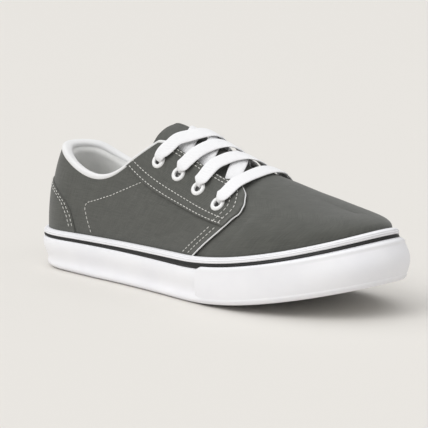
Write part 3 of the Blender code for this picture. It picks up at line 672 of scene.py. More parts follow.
def cloth(name, colour, light_colour, thread_mm, relief, slub):
    """Plain-woven cotton: threads over and under, drawn coarser than the real 0.4 mm so
    that they show, with slubs and a faded nap that make the tone uneven."""
    made, tree, shader = surface(name, colour, 0.9)
    shader.inputs["Sheen Weight"].default_value = 0.25
    shader.inputs["Sheen Roughness"].default_value = 0.5
    uv = add(tree, "UVMap", {}, uv_map="UVMap").outputs["UV"]
    waves = []
    for direction in ("X", "Y"):
        wave = add(tree, "TexWave", {
            "Vector": uv, "Scale": WAVE_PER_MM / thread_mm, "Distortion": 0.6, "Detail": 1.0,
            "Detail Scale": 2.0}, bands_direction=direction)
        waves.append(wave.outputs["Fac"])
    weave = add(tree, "Mix", {"Factor": 0.5, "A": waves[0], "B": waves[1]}, data_type="FLOAT")
    threads = []
    # slubs: single threads about 0.7 mm wide and many times as long
    for stretch in ((1.0, 0.06, 1.0), (0.06, 1.0, 1.0)):
        turned = add(tree, "Mapping", {"Vector": uv, "Scale": stretch})
        noise = add(tree, "TexNoise", {
            "Vector": turned.outputs["Vector"], "Scale": 1400.0, "Detail": 1.0})
        threads.append(noise.outputs["Fac"])
    streaks = add(tree, "Mix", {"Factor": 0.5, "A": threads[0], "B": threads[1]}, data_type="FLOAT")
    # fading in clouds of about 8 mm
    cloud = add(tree, "TexNoise", {"Vector": uv, "Scale": 120.0, "Detail": 4.0, "Roughness": 0.6})
    tones = add(tree, "Mix", {
        "Factor": slub, "A": cloud.outputs["Fac"], "B": streaks.outputs["Result"]},
        data_type="FLOAT")
    tone = add(tree, "ValToRGB", {"Fac": tones.outputs["Result"]})
    tone.color_ramp.elements[0].position = 0.36
    tone.color_ramp.elements[0].color = linear(colour)
    tone.color_ramp.elements[1].position = 0.64
    tone.color_ramp.elements[1].color = linear(light_colour)
    tree.links.new(tone.outputs["Color"], shader.inputs["Base Color"])
    height = add(tree, "Mix", {
        "Factor": 0.35, "A": weave.outputs["Result"], "B": streaks.outputs["Result"]},
        data_type="FLOAT")
    bump = add(tree, "Bump", {
        "Height": height.outputs["Result"], "Strength": relief, "Distance": 0.0004})
    tree.links.new(bump.outputs["Normal"], shader.inputs["Normal"])
    return made


lining_cloth = cloth("grey lining twill", "#EAEAE8", "#F2F2F0", 0.9, 0.35, 0.4)
grey_canvas = cloth("charcoal cotton canvas", "#4B4C48", "#5B5C57", 1.0, 0.45, 0.75)
LINING_DEPTH = PANEL_DEPTH + UPPER_WALL / 2
LINING_THICKNESS = UPPER_WALL / 2
PADDING = 0.0024
PADDING_REACH = 0.040
PADDED_TO = 0.38
PADDING_FADE = 0.05
PAST_ROLL = 0.0002
EDGE_TUCK = 0.45
EDGE_TUCK_DEPTH = 0.0035


def lining_place(u, v):
    turn = TAU * u
    s = station(turn)
    collar = 1 - ease((s - PADDED_TO) / PADDING_FADE)
    cut = climb_at_height(turn, collar_z(turn) - roll_height(s) / 2)
    top = np.where(s > COLLAR_END, edge_climb(turn), np.minimum(cut, throat_corner(s)))
    climb = -MARGIN_CLIMB + (top + MARGIN_CLIMB) * v
    drop = collar_z(turn) - rib(turn, climb)[..., 2]
    below = np.clip(drop / PADDING_REACH, 0, 1)
    tucked = 1 - EDGE_TUCK * (1 - ease((drop - roll_height(s) / 2) / EDGE_TUCK_DEPTH))
    edge = np.maximum(roll_width(s) - LINING_DEPTH + PAST_ROLL, 0) * tucked
    full = edge + PADDING * np.sin(math.pi * below)
    return skin(turn, climb, -LINING_DEPTH - full * (1 - ease(below)) * collar)


lining = patch("lining", ROUND, 90, lining_place, lining_cloth)
close_seam(lining)
modify(lining, "SOLIDIFY", thickness=LINING_THICKNESS, offset=-1)
finish_piece(lining, "lining_cloth", "upper")

# Insole
# A thin footbed of foam under grey twill, laid loose on the midsole inside the lining. It
# dips a little along its middle, and its rim is rounded down.
INSOLE_BASE = CORE_HEIGHT + CLEARANCE
INSOLE_THICKNESS = 0.0038
INSOLE_MARGIN = 0.0040
INSOLE_LEAN = 0.1
INSOLE_DIP = 0.0010
INSOLE_RIM = 0.0008
INSOLE_TOP_ROWS = 0.8
END_TURN = 0.004


def insole_place(u, v):
    t = math.pi * np.clip(u, END_TURN, 1 - END_TURN)
    lean = (feather_inset(station(t)) - CORE_INSET) * INSOLE_LEAN
    inset = core_inset(station(t), CORE_HEIGHT) + lean + INSOLE_MARGIN
    top = v <= INSOLE_TOP_ROWS
    share = np.where(top, v / INSOLE_TOP_ROWS, (1 - v) / (1 - INSOLE_TOP_ROWS))
    level = INSOLE_BASE + np.where(top, INSOLE_THICKNESS, 0.0)
    lateral = sole_point(t, level, inset)
    medial = sole_point(TAU - t, level, inset)
    point = lateral * (1 - share[:, None]) + medial * share[:, None]
    bowl = np.sin(math.pi * share) ** 0.8 * np.sin(math.pi * u) ** 0.5
    rim = 1 - np.sin(math.pi * share) ** 0.35
    point[:, 2] -= np.where(top, INSOLE_DIP * bowl + INSOLE_RIM * rim, 0)
    return point


insole = patch("insole", 120, 50, insole_place, lining_cloth)
close_seam(insole)
finish_piece(insole, "lining_cloth", "insole")


# Vamp
# The toe piece of grey cotton canvas, pulled over the last and held under the sole's strip.
# Its back edge runs under the quarters and round the front of the throat.
Front = namedtuple("Front", "climb station")
Seam = namedtuple("Seam", "station climb")
VAMP_SEAM = (
    Front(-0.12, 0.572),
    Front(0.00, 0.592),
    Front(0.14, 0.633),
    Front(0.25, 0.668),
    Front(0.35, 0.691),
    Front(0.45, 0.705),
    Front(0.54, 0.697),
    Front(0.615, 0.682),
    Front(0.665, 0.658),
)
VAMP_BACK = (
    Front(-0.12, 0.545),
    Front(0.14, 0.600),
    Front(0.30, 0.648),
    Front(0.45, 0.672),
    Front(0.56, 0.655),
    Front(0.66, 0.628),
    Front(0.76, 0.634),
    Front(0.88, 0.650),
    Front(1.00, 0.655),
)
PANEL_STEP = 0.055
VAMP_THICKNESS = 0.0010
# The grid's rows crowd towards the ridge and its columns towards the seams
EVEN_ROWS = 0.15
VAMP_CROWDING = 0.045
seam_station = smooth(VAMP_SEAM, "station")
vamp_back = smooth(VAMP_BACK, "station")


def vamp_recess(turn, climb):
    """Depth of the vamp below the last's surface where the quarters cover it."""
    ahead = station(turn) - seam_station(climb) - PANEL_STEP / 8
    above = ease((climb - THROAT_CLIMB) / (1 - THROAT_CLIMB))
    return PANEL_DEPTH * (1 - ease(ahead / PANEL_STEP)) * (1 - above)


def vamp_place(u, v):
    rise = EVEN_ROWS * v + (1 - EVEN_ROWS) * np.sin(v * math.pi / 2)
    climb = -MARGIN_CLIMB + (1 + MARGIN_CLIMB) * rise
    back = turn_at(vamp_back(climb), -1)
    spread = u + VAMP_CROWDING * np.sin(TAU * u)
    turn = back + (TAU - 2 * back) * spread
    return skin(turn, climb, -vamp_recess(turn, climb))


vamp = patch("vamp", 320, 84, vamp_place, grey_canvas)
close_seam(vamp)
modify(vamp, "SOLIDIFY", thickness=VAMP_THICKNESS, offset=-1)
finish_piece(vamp, "grey_canvas", "upper")


# Quarters
# One canvas layer from seam to seam round the heel. Its front edge is turned and stitched
# down over the vamp, and it carries the eyestays, the counter and the collar's binding.
UNDER_THROAT = 0.015
QUARTER_CROWDING = 0.03
EDGE_LIFT = 0.0007
EDGE_REACH = 0.018
RIPPLE_TURNS = 58
RIPPLE_START = 0.25
RIPPLE_FADE = 0.2


def trimmed(turn_of, low_of, high_of, u, v):
    """Turn and climb where a side edge follows the climb and the top follows the turn."""
    climb = 0.3 + 0 * v
    for _ in range(12):
        turn = turn_of(u, climb)
        climb = low_of(turn) + (high_of(turn) - low_of(turn)) * v
    return turn, climb


def panel_top(turn):
    return np.minimum(edge_climb(turn), THROAT_CLIMB + UNDER_THROAT)


def quarter_turn(u, climb):
    return (2 * u - 1) * turn_at(seam_station(climb), -1)


def front_lift(turn, climb):
    """The turned front edge stands off the vamp a little, unevenly near its top."""
    near = 1 - ease((seam_station(climb) - station(turn)) / EDGE_REACH)
    ripple = np.sin(climb * RIPPLE_TURNS) * ease((climb - RIPPLE_START) / RIPPLE_FADE)
    return EDGE_LIFT * near * (1 + ripple / 2)


def quarter_place(u, v):
    spread = u + QUARTER_CROWDING * np.sin(2 * TAU * u)
    turn, climb = trimmed(quarter_turn, lambda t: 0 * t - MARGIN_CLIMB, panel_top, spread, v)
    return skin(turn, climb, front_lift(turn, climb))


quarters = patch("quarters", 400, 72, quarter_place, grey_canvas)
modify(quarters, "SOLIDIFY", thickness=PANEL_THICKNESS, offset=-1)
finish_piece(quarters, "grey_canvas", "quarters")

# Counter
# A canvas piece round the back of the heel, stitched over the quarters with two rows. Its
# upper edge is turned in and drawn down by the stitches.
COUNTER_SEAM = (
    Seam(0.000, 0.290),
    Seam(0.030, 0.280),
    Seam(0.068, 0.248),
    Seam(0.105, 0.205),
    Seam(0.138, 0.155),
    Seam(0.160, 0.090),
    Seam(0.176, 0.000),
)
COUNTER_FOOT = -0.05
COUNTER_END = 0.1755
EDGE_DROP = 0.0006
EDGE_SHARE = 0.2
counter_climb = smooth(COUNTER_SEAM, "climb")
OVERLAY_LIFT = CLEARANCE + OVERLAY_THICKNESS


def counter_place(u, v):
    reach = float(turn_at(COUNTER_END, -1))
    turn = reach * (2 * u - 1)
    climb = COUNTER_FOOT + (counter_climb(station(turn)) - COUNTER_FOOT) * v
    top = ease((v - 1 + EDGE_SHARE) / EDGE_SHARE)
    return skin(turn, climb, OVERLAY_LIFT - EDGE_DROP * top)


counter = patch("heel_counter", 200, 40, counter_place, grey_canvas)
modify(counter, "SOLIDIFY", thickness=OVERLAY_THICKNESS / 2, offset=-1)
modify(counter, "BEVEL", width=0.0003, segments=2, limit_method="ANGLE", angle_limit=1.0)
finish_piece(counter, "grey_canvas", "heel_counter")

# Eyestays
# A canvas overlay on each side of the throat that carries the eyelets. Its front end rounds
# down to the vamp seam and its back end runs up under the collar's binding.
EYESTAY_SEAM = (
    Seam(0.300, 0.470),
    Seam(0.340, 0.410),
    Seam(0.417, 0.345),
    Seam(0.503, 0.326),
    Seam(0.588, 0.312),
    Seam(0.720, 0.262),
)
eyestay_climb = smooth(EYESTAY_SEAM, "climb")
EYESTAY_BACK = 0.331
EYESTAY_TIP = 0.004
EYESTAY_SET = 0.0005


def eyestay_low(turn):
    return np.minimum(eyestay_climb(station(turn)), panel_top(turn) - EYESTAY_TIP)


def eyestay_place(side):
    def turn_of(u, climb):
        front = seam_station(climb) - EYESTAY_SET
        return turn_at(EYESTAY_BACK + (front - EYESTAY_BACK) * u, side)

    def place(u, v):
        if side > 0:
            u = 1 - u
        turn, climb = trimmed(turn_of, eyestay_low, panel_top, u, v)
        return skin(turn, climb, OVERLAY_LIFT + front_lift(turn, climb))

    return place


eyestays = []
for side, side_name in ((-1, "lateral"), (1, "medial")):
    eyestay = patch("eyestay_" + side_name, 150, 48, eyestay_place(side), grey_canvas)
    modify(eyestay, "SOLIDIFY", thickness=OVERLAY_THICKNESS, offset=-1)
    eyestays.append(eyestay)
    finish_piece(eyestay, "grey_canvas", "eyestay_" + side_name)


# Collar binding
# A folded white cotton tape sewn over the cut edge of the collar, full round the heel and
# drawn down to a narrow edge beside the eyestays.
def cotton(name, colour, shade_colour, rib_mm, relief):
    """Braided or woven white cotton: fine chevrons along the piece, soft and matt. The rib is
    drawn coarser than the real 0.5 mm so that it shows."""
    made, tree, shader = surface(name, colour, 0.85)
    shader.inputs["Sheen Weight"].default_value = 0.2
    uv = add(tree, "UVMap", {}, uv_map="UVMap").outputs["UV"]
    chevrons = []
    for slope in (0.7, -0.7):
        turned = add(tree, "Mapping", {"Vector": uv, "Rotation": (0, 0, slope)})
        wave = add(tree, "TexWave", {
            "Vector": turned.outputs["Vector"], "Scale": WAVE_PER_MM / rib_mm, "Distortion": 0.4})
        chevrons.append(wave.outputs["Fac"])
    braid = add(tree, "Mix", {"Factor": 0.5, "A": chevrons[0], "B": chevrons[1]}, data_type="FLOAT")
    tone = add(tree, "Mix", {
        "Factor": braid.outputs["Result"], "A": linear(shade_colour), "B": linear(colour)},
        data_type="RGBA")
    tree.links.new(tone.outputs["Result"], shader.inputs["Base Color"])
    bump = add(tree, "Bump", {"Height": braid.outputs["Result"], "Strength": relief, "Distance": 0.0003})
    tree.links.new(bump.outputs["Normal"], shader.inputs["Normal"])
    return made


white_tape = cotton("white cotton tape", "#F2F2F2", "#E9E9E9", 0.8, 0.35)
BINDING_PROUD = 0.0006
BINDING_END = COLLAR_END + 0.020
BINDING_CORNER = 0.008
ROLL_SQUARENESS = 0.75
STEP_START = EYESTAY_BACK - 0.01
STEP_LENGTH = 0.02
INSIDE_SHARE = 0.6


def rounded_box(angle, wide_power, high_power):
    """Cosine and sine of an angle, squared off by the powers."""
    across, rise = np.cos(angle), np.sin(angle)
    return (np.sign(across) * np.abs(across) ** wide_power,
            np.sign(rise) * np.abs(rise) ** high_power)


def binding_place(u, v):
    reach = float(turn_at(BINDING_END, -1))
    turn = reach * (2 * u - 1)
    s = station(turn)
    width, height = roll_width(s), roll_height(s)
    proud = BINDING_PROUD + OVERLAY_LIFT * ease((s - STEP_START) / STEP_LENGTH)
    middle = collar_z(turn) - height / 2
    climb = np.minimum(climb_at_height(turn, middle), throat_corner(s) + BINDING_CORNER)
    up = unit(rib(turn, climb + 0.01) - rib(turn, climb - 0.01))
    across, rise = rounded_box(TAU * v, ROLL_SQUARENESS, ROLL_SQUARENESS)
    rise = rise * height / 2 * np.where((across < 0) & (rise < 0), INSIDE_SHARE, 1)
    return skin(turn, climb, proud - width / 2 * (1 - across)) + up * rise[:, None]


binding = patch("collar_binding", 260, 24, binding_place, white_tape)
close_seam(binding)
finish_piece(binding, "white_cotton", "collar_binding")


# Stitching
# Off-white cotton thread, lock-stitched about three to the centimetre. Each stitch lies in
# the canvas with its ends drawn in, and two rows run along every seam that takes load.
def thread(name, colour):
    """Twisted cotton thread: matt, with darker fibres about a millimetre long."""
    made, tree, shader = surface(name, colour, 0.8)
    shader.inputs["Sheen Weight"].default_value = 0.2
    place = add(tree, "TexCoord", {}).outputs["Object"]
    noise = add(tree, "TexNoise", {"Vector": place, "Scale": 900.0, "Detail": 1.0})
    tone = add(tree, "Mix", {
        "Factor": noise.outputs["Fac"], "A": linear("#C6C5C0"), "B": linear(colour)},
        data_type="RGBA")
    tree.links.new(tone.outputs["Result"], shader.inputs["Base Color"])
    return made


off_white_thread = thread("off-white sewing thread", "#EDECE8")
STITCH_LENGTH = 0.0024
STITCH_PITCH = 0.0033
THREAD_WIDTH = 0.00062
THREAD_HEIGHT = 0.8 * THREAD_WIDTH

bpy.ops.object.select_all(action="DESELECT")
bpy.ops.mesh.primitive_uv_sphere_add(segments=8, ring_count=6, radius=0.5)
one_stitch = bpy.context.object


def from_lowest(face):
    start = face.index(min(face))
    return face[start:] + face[:start]


# The sphere's points come in another order each run, so they are sorted by their place
stitch_points = np.array([v.co[:] for v in one_stitch.data.vertices])
order = np.lexsort(np.round(stitch_points, 5).T)
stitch_points = stitch_points[order]
rank = np.argsort(order).tolist()
stitch_faces = sorted(
    from_lowest(tuple(rank[i] for i in face.vertices)) for face in one_stitch.data.polygons)
bpy.data.objects.remove(one_stitch)


def evenly(turns, climbs, pitch):
    """Turns and climbs at an even pitch along a line drawn on the upper."""
    points = rib(turns, climbs)
    gone = np.concatenate([[0], np.cumsum(np.linalg.norm(np.diff(points, axis=0), axis=1))])
    places = np.arange(pitch / 2, gone[-1], pitch)
    return np.interp(places, gone, turns), np.interp(places, gone, climbs)


def stitching(name, rows, lift):
    """One mesh of stitches along lines on the upper, each line its turns and climbs."""
    points = []
    for turns, climbs, *raised in rows:
        turn, climb = evenly(turns, climbs, STITCH_PITCH)
        over = lift + (raised[0](turn, climb) if raised else 0)
        here = skin(turn, climb, over)
        normal = skin_normal(turn, climb)
        ahead = unit(np.gradient(here, axis=0))
        aside = unit(np.cross(normal, ahead))
        size = stitch_points * (STITCH_LENGTH, THREAD_WIDTH, THREAD_HEIGHT)
        points.append(
            here[:, None] + ahead[:, None] * size[:, :1] + aside[:, None] * size[:, 1:2]
            + unit(np.cross(ahead, aside))[:, None] * size[:, 2:])
    points = np.concatenate(points)
    count = points.shape[1]
    faces = [tuple(i + count * k for i in face) for k in range(len(points)) for face in stitch_faces]
    mesh = bpy.data.meshes.new(name)
    mesh.from_pydata(points.reshape(-1, 3).tolist(), [], faces)
    mesh.materials.append(off_white_thread)
    mesh.shade_smooth()
    made = bpy.data.objects.new(name, mesh)
    bpy.context.collection.objects.link(made)
    finish_piece(made, "white_cotton")


def drawn_line(rows, end):
    """Stations and climbs along a table's rows, as far as a row's number."""
    way = np.linspace(0, end, 200)
    return [np.interp(way, range(len(rows)), [getattr(row, column) for row in rows])
            for column in ("station", "climb")]


def along_stations(first, last, climb_of, side, count=160):
    s = np.linspace(first, last, count)
    return turn_at(s, side), climb_of(s)


def along_climbs(first, last, station_of, side, count=120):
    climbs = np.linspace(first, last, count)
    return turn_at(station_of(climbs), side), climbs


# Rows of stitches, as distances in climb or station from the edge that they follow
ON_PANEL = 0.0001
ON_OVERLAY = OVERLAY_LIFT + ON_PANEL
LOW_EDGE_ROWS = (0.014, 0.058)
THROAT_ROWS = (0.010, 0.038)
FRONT_EDGE_ROWS = (0.023, 0.041)
COUNTER_ROWS = (0.005, 0.017)
LOW_EDGE_START = 0.338
LOW_EDGE_END = 0.668
THROAT_ROW_START = 0.452
THROAT_ROW_END = 0.6526
FRONT_ROW_TOP = 0.628
FRONT_ROW_FOOT = 0.02
EYESTAY_CORNER = float(eyestay_climb(0.66))
ROW_GAP = 0.01
# The counter's rows stop short of the sole. Behind the heel their distance from the edge is
# measured in climb, and further on in station.
COUNTER_SHORT = 0.25
HEEL_BEND = 0.13
CLIMB_PER_STATION = 2.4
eyestay_rows = []
low_seam_rows = []
for side in (-1, 1):
    for above in LOW_EDGE_ROWS:
        eyestay_rows.append(along_stations(
            LOW_EDGE_START + above * 0.1, LOW_EDGE_END,
            lambda s: eyestay_climb(s) + above, side))
    for inside in THROAT_ROWS:
        eyestay_rows.append(along_stations(
            THROAT_ROW_START, THROAT_ROW_END - inside * 0.2,
            lambda s: THROAT_CLIMB - inside + 0 * s, side))
    for behind in FRONT_EDGE_ROWS:
        for rows, first, last in (
            (eyestay_rows, EYESTAY_CORNER + ROW_GAP, FRONT_ROW_TOP),
            (low_seam_rows, FRONT_ROW_FOOT, EYESTAY_CORNER - ROW_GAP),
        ):
            rows.append((
                *along_climbs(first, last, lambda c: seam_station(c) - behind, side), front_lift))
stitching("eyestay_stitches", eyestay_rows, ON_OVERLAY)
stitching("vamp_seam_stitches", low_seam_rows, ON_PANEL)

counter_rows = []
for below in COUNTER_ROWS:
    s, climbs = drawn_line(COUNTER_SEAM, len(COUNTER_SEAM) - 1 - COUNTER_SHORT)
    ahead = ease(s / HEEL_BEND)
    climbs = climbs - below * CLIMB_PER_STATION * (1 - ahead)
    turns = turn_at(np.maximum(s - below * ahead, 0), -1)
    counter_rows.append((
        np.concatenate([-turns[:0:-1], turns]), np.concatenate([climbs[:0:-1], climbs])))
stitching("counter_stitches", counter_rows, ON_OVERLAY)

WINDOW = (
    Seam(0.398, 0.367),
    Seam(0.345, 0.303),
    Seam(0.292, 0.243),
    Seam(0.245, 0.204),
    Seam(0.216, 0.182),
    Seam(0.206, 0.164),
    Seam(0.205, 0.143),
    Seam(0.212, 0.100),
    Seam(0.230, 0.013),
)
window_stations, window_climbs = drawn_line(WINDOW, len(WINDOW) - 1)
window_rows = [(turn_at(window_stations, side), window_climbs) for side in (-1, 1)]
stitching("quarter_stitches", window_rows, ON_PANEL)


# Seam edge
# The quarters' white cotton backing shows as a thin line along their turned front edge. It
# is rolled over with the canvas and held by the same two rows of stitches.
BACKING_FOOT = -0.02
BACKING_TOP = 0.665
BACKING_SHOWS = 0.0012
BACKING_SINKS = 0.0002
BACKING_HALF_WIDTH = 0.0005
BACKING_HALF_HEIGHT = 0.00045


def seam_edge_place(side):
    def place(u, v):
        climb = BACKING_FOOT + (BACKING_TOP - BACKING_FOOT) * u
        turn = turn_at(seam_station(climb) + BACKING_SHOWS, side)
        over = front_lift(turn_at(seam_station(climb), side), climb)
        centre = skin(turn, climb, over - BACKING_SINKS)
        normal = skin_normal(turn, climb)
        ahead = unit(np.gradient(centre.reshape(-1, len(np.unique(u)), 3), axis=1).reshape(-1, 3))
        aside = unit(np.cross(ahead, normal))
        angle = TAU * v
        return (centre + aside * (np.cos(angle) * BACKING_HALF_WIDTH)[:, None]
                + normal * (np.sin(angle) * BACKING_HALF_HEIGHT)[:, None])

    return place


for side, side_name in ((-1, "lateral"), (1, "medial")):
    edge = patch("seam_edge_" + side_name, 120, 10, seam_edge_place(side), white_tape)
    close_seam(edge)
    finish_piece(edge, "white_cotton")


# Tongue
# A foam-padded flap of grey canvas under the throat, sewn to the vamp at its front end. Its
# top stands free above the laces with a turned, rounded edge. It has slipped a little to the
# medial side, so its top edge slants.
Crown = namedtuple("Crown", "station lift")
TONGUE_CROWN = (
    Crown(0.390, -0.058),
    Crown(0.420, -0.045),
    Crown(0.450, -0.039),
    Crown(0.480, -0.033),
    Crown(0.500, -0.026),
    Crown(0.530, -0.020),
    Crown(0.560, -0.018),
    Crown(0.590, -0.022),
    Crown(0.620, -0.034),
    Crown(0.650, -0.038),
    Crown(0.680, -0.036),
)
TONGUE_TOP = 0.399
TONGUE_SLANT = 0.022
TONGUE_END = 0.675
TONGUE_CLIMB = 0.50
TONGUE_TOP_CLIMB = 0.60
TONGUE_CORNER = 0.05
TONGUE_THICKNESS = 0.0050
TONGUE_LEAN = 0.0010
LEAN_LENGTH = 0.18
LEAN_REACH = 0.33
CROWN_START = THROAT_CLIMB + 0.02
BLEND_REACH = 0.35
BLEND_CLIMB = 0.93
TUCK = PANEL_DEPTH + UPPER_WALL + 0.0008
tongue_crown = smooth(TONGUE_CROWN, "lift")


def tongue_lift(s, climb):
    crown = tongue_crown(s) * INSTEP_HEIGHT
    share = ease((climb - CROWN_START) / (1 - CROWN_START))
    return -TUCK + (crown + TUCK) * share


def tongue_place(u, v):
    across = 2 * v - 1
    top = TONGUE_TOP + TONGUE_SLANT * across
    s = top + (TONGUE_END - top) * u
    near_top = 1 - ease((s - top) / TONGUE_CORNER)
    low = TONGUE_CLIMB + (TONGUE_TOP_CLIMB - TONGUE_CLIMB) * near_top
    climb = 1 - (1 - low) * np.abs(across)
    lateral = rib(turn_at(s, -1), climb)
    medial = rib(turn_at(s, 1), climb)
    base = np.where((across < 0)[:, None], lateral, medial)
    normals = [skin_normal(turn_at(s, side), np.minimum(climb, BLEND_CLIMB)) for side in (-1, 1)]
    share = ease((across / BLEND_REACH + 1) / 2)[:, None]
    normal = unit(normals[0] * (1 - share) + normals[1] * share)
    reach = (1 - climb) * np.sign(across)
    lean = np.sin(np.clip(reach / LEAN_REACH, -1, 1) * math.pi)
    lean = lean * (1 - ease((s - top) / LEAN_LENGTH))
    return base + normal * (tongue_lift(s, climb) + TONGUE_LEAN * lean)[:, None]


tongue = patch("tongue", 96, 72, tongue_place, grey_canvas)
modify(tongue, "SOLIDIFY", thickness=TONGUE_THICKNESS, offset=-1)
modify(tongue, "BEVEL", width=0.0016, segments=4, limit_method="ANGLE", angle_limit=0.9)
bpy.ops.object.shade_smooth()
finish_piece(tongue, "grey_canvas", "tongue")


# Eyelets
# White enamelled rings, 10.6 mm across, pressed through eyestay, quarter and lining, which
# are punched for them. The flange is domed, and a short barrel goes down into the hole.
def enamel(name, colour):
    """Stoved enamel on pressed brass: a clear gloss, slightly uneven every 1.4 mm or so."""
    made, tree, shader = surface(name, colour, 0.32)
    shader.inputs["Coat Weight"].default_value = 0.3
    shader.inputs["Coat Roughness"].default_value = 0.2
    place = add(tree, "TexCoord", {}).outputs["Object"]
    noise = add(tree, "TexNoise", {"Vector": place, "Scale": 700.0, "Detail": 2.0})
    bump = add(tree, "Bump", {"Height": noise.outputs["Fac"], "Strength": 0.06, "Distance": 0.0002})
    tree.links.new(bump.outputs["Normal"], shader.inputs["Normal"])
    return made


white_enamel = enamel("white enamel", "#F4F4F4")
EYELETS = (Seam(0.427, 0.507), Seam(0.495, 0.498), Seam(0.563, 0.482), Seam(0.635, 0.440))
Rim = namedtuple("Rim", "radius rise")
EYELET_PROFILE = (
    Rim(0.00255, 0.0004),
    Rim(0.00275, 0.0009),
    Rim(0.00320, 0.0012),
    Rim(0.00385, 0.0013),
    Rim(0.00450, 0.0011),
    Rim(0.00505, 0.0007),
    Rim(0.00530, 0.0002),
    Rim(0.00520, -0.0002),
    Rim(0.00320, -0.0002),
    Rim(0.00320, -0.0012),
    Rim(0.00265, -0.0012),
    Rim(0.00255, 0.0004),
)
HOLE_RADIUS = 0.0034
HOLE_DEPTH = 0.024


def eyelet_place(eyelet, side):
    """Matrix that stands an eyelet on the eyestay."""
    turn = turn_at(eyelet.station, side)
    normal = Vector(skin_normal(turn, eyelet.climb))
    point = Vector(skin(turn, eyelet.climb, OVERLAY_LIFT))
    return Matrix.Translation(point) @ normal.to_track_quat("Z", "Y").to_matrix().to_4x4()


def ring_place(place):
    """The eyelet's turned profile, stood in its place."""
    matrix = np.array(place)

    def put(u, v):
        profile = np.array(EYELET_PROFILE)
        k = np.rint(v * (len(profile) - 1)).astype(int)
        angle = TAU * u
        radius, rise = profile[k, 0], profile[k, 1]
        local = np.stack([np.cos(angle) * radius, np.sin(angle) * radius, rise, 0 * u + 1], -1)
        return local @ matrix.T[:, :3]

    return put


holes = []
for side, side_name in ((-1, "lateral"), (1, "medial")):
    for row, eyelet in enumerate(EYELETS):
        place = eyelet_place(eyelet, side)
        name = "eyelet_%s_%d" % (side_name, row + 1)
        made = patch(
            name + "_ring", 40, len(EYELET_PROFILE) - 1, ring_place(place), white_enamel)
        close_seam(made)
        finish_piece(made, "white_enamel", name)
        bpy.ops.object.select_all(action="DESELECT")
        bpy.ops.mesh.primitive_cylinder_add(vertices=24, radius=HOLE_RADIUS, depth=HOLE_DEPTH)
        hole = bpy.context.object
        hole.data.transform(place)
        holes.append(hole)
pick(*holes)
bpy.ops.object.join()
for holed in (quarters, lining, *eyestays):
    modify(holed, "BOOLEAN", operation="DIFFERENCE", object=holes[0], solver="EXACT")
bpy.data.objects.remove(holes[0])


# Lace
# A flat braided white cotton lace, 11 mm wide. A bar runs into both bottom eyelets; from
# there each side comes out under the eyestay's edge, crosses the tongue and goes down into
# the next eyelet of the other side. The ends stop inside the top eyelets.
lace_braid = cotton("white braided lace", "#FBFBFC", "#EDEDEF", 1.1, 0.6)
LACE_WIDTH = 0.0110
LACE_THICKNESS = 0.0016
# How much thicker the lace gets where it is drawn together, and how flat its section is
THICKENING = 0.45
LACE_WIDE_POWER = 0.62
LACE_HIGH_POWER = 0.85
STEEP = 0.75

# Each strand over the tongue from the eyestay beside its eyelet to where it goes under the
# other one: reach over the ridge, station, and height over the last in millimetres. The
# strand with its eyelet on the lateral side lies on top.
Cross = namedtuple("Cross", "reach station height")
UPPER_STRANDS = (
    (Cross(-0.31, 0.454, 2.6), Cross(-0.22, 0.472, 1.2), Cross(-0.12, 0.488, 1.0),
     Cross(0.00, 0.499, 1.2), Cross(0.12, 0.506, 2.2), Cross(0.24, 0.508, 1.8),
     Cross(0.32, 0.506, -1.2)),
    (Cross(-0.31, 0.517, 2.6), Cross(-0.22, 0.525, 1.2), Cross(-0.12, 0.535, 1.0),
     Cross(0.00, 0.546, 1.2), Cross(0.12, 0.556, 2.2), Cross(0.24, 0.563, 1.8),
     Cross(0.32, 0.566, -1.2)),
    (Cross(-0.31, 0.573, 2.6), Cross(-0.22, 0.580, 1.4), Cross(-0.12, 0.589, 1.2),
     Cross(0.00, 0.600, 1.4), Cross(0.12, 0.612, 2.2), Cross(0.24, 0.622, 1.6),
     Cross(0.32, 0.628, -1.2)),
)
LOWER_STRANDS = (
    (Cross(0.31, 0.445, -0.4), Cross(0.20, 0.454, -1.6), Cross(0.10, 0.461, -2.6),
     Cross(0.00, 0.467, -3.0), Cross(-0.12, 0.471, -2.8), Cross(-0.22, 0.474, -2.4),
     Cross(-0.31, 0.476, -2.2)),
    (Cross(0.31, 0.499, 2.2), Cross(0.20, 0.507, 1.0), Cross(0.10, 0.515, 0.0),
     Cross(0.00, 0.523, -0.8), Cross(-0.12, 0.529, -1.6), Cross(-0.22, 0.535, -1.6),
     Cross(-0.31, 0.539, -2.2)),
    (Cross(0.31, 0.568, 2.2), Cross(0.20, 0.577, 1.2), Cross(0.10, 0.586, 0.4),
     Cross(0.00, 0.596, -0.4), Cross(-0.12, 0.608, -1.4), Cross(-0.22, 0.617, -1.6),
     Cross(-0.31, 0.625, -2.2)),
)
BAR = (
    Cross(-0.31, 0.657, 2.8), Cross(-0.20, 0.663, 1.6), Cross(-0.08, 0.667, 1.4),
    Cross(0.06, 0.669, 1.8), Cross(0.18, 0.668, 2.4), Cross(0.30, 0.656, 2.6))
# Reach over which the two sides' directions blend into one another at the ridge
RIDGE_BLEND = 0.08


def surface_at(reach, s, lift):
    """Point and direction above the last by a reach, which is 1 - climb, negative lateral."""
    side = np.where(reach < 0, -1, 1)
    turn = turn_at(s, side)
    climb = 1 - np.abs(reach)
    low = np.minimum(climb, 1 - RIDGE_BLEND)
    sides = [skin_normal(turn_at(s, one), low) for one in (-1, 1)]
    share = ease((reach / RIDGE_BLEND + 1) / 2)[..., None]
    normal = unit(sides[0] * (1 - share) + sides[1] * share)
    return rib(turn, climb) + normal * np.asarray(lift)[..., None], normal


Knot = namedtuple("Knot", "reach station lift width")
Spot = namedtuple("Spot", "gone x y z nx ny nz width")


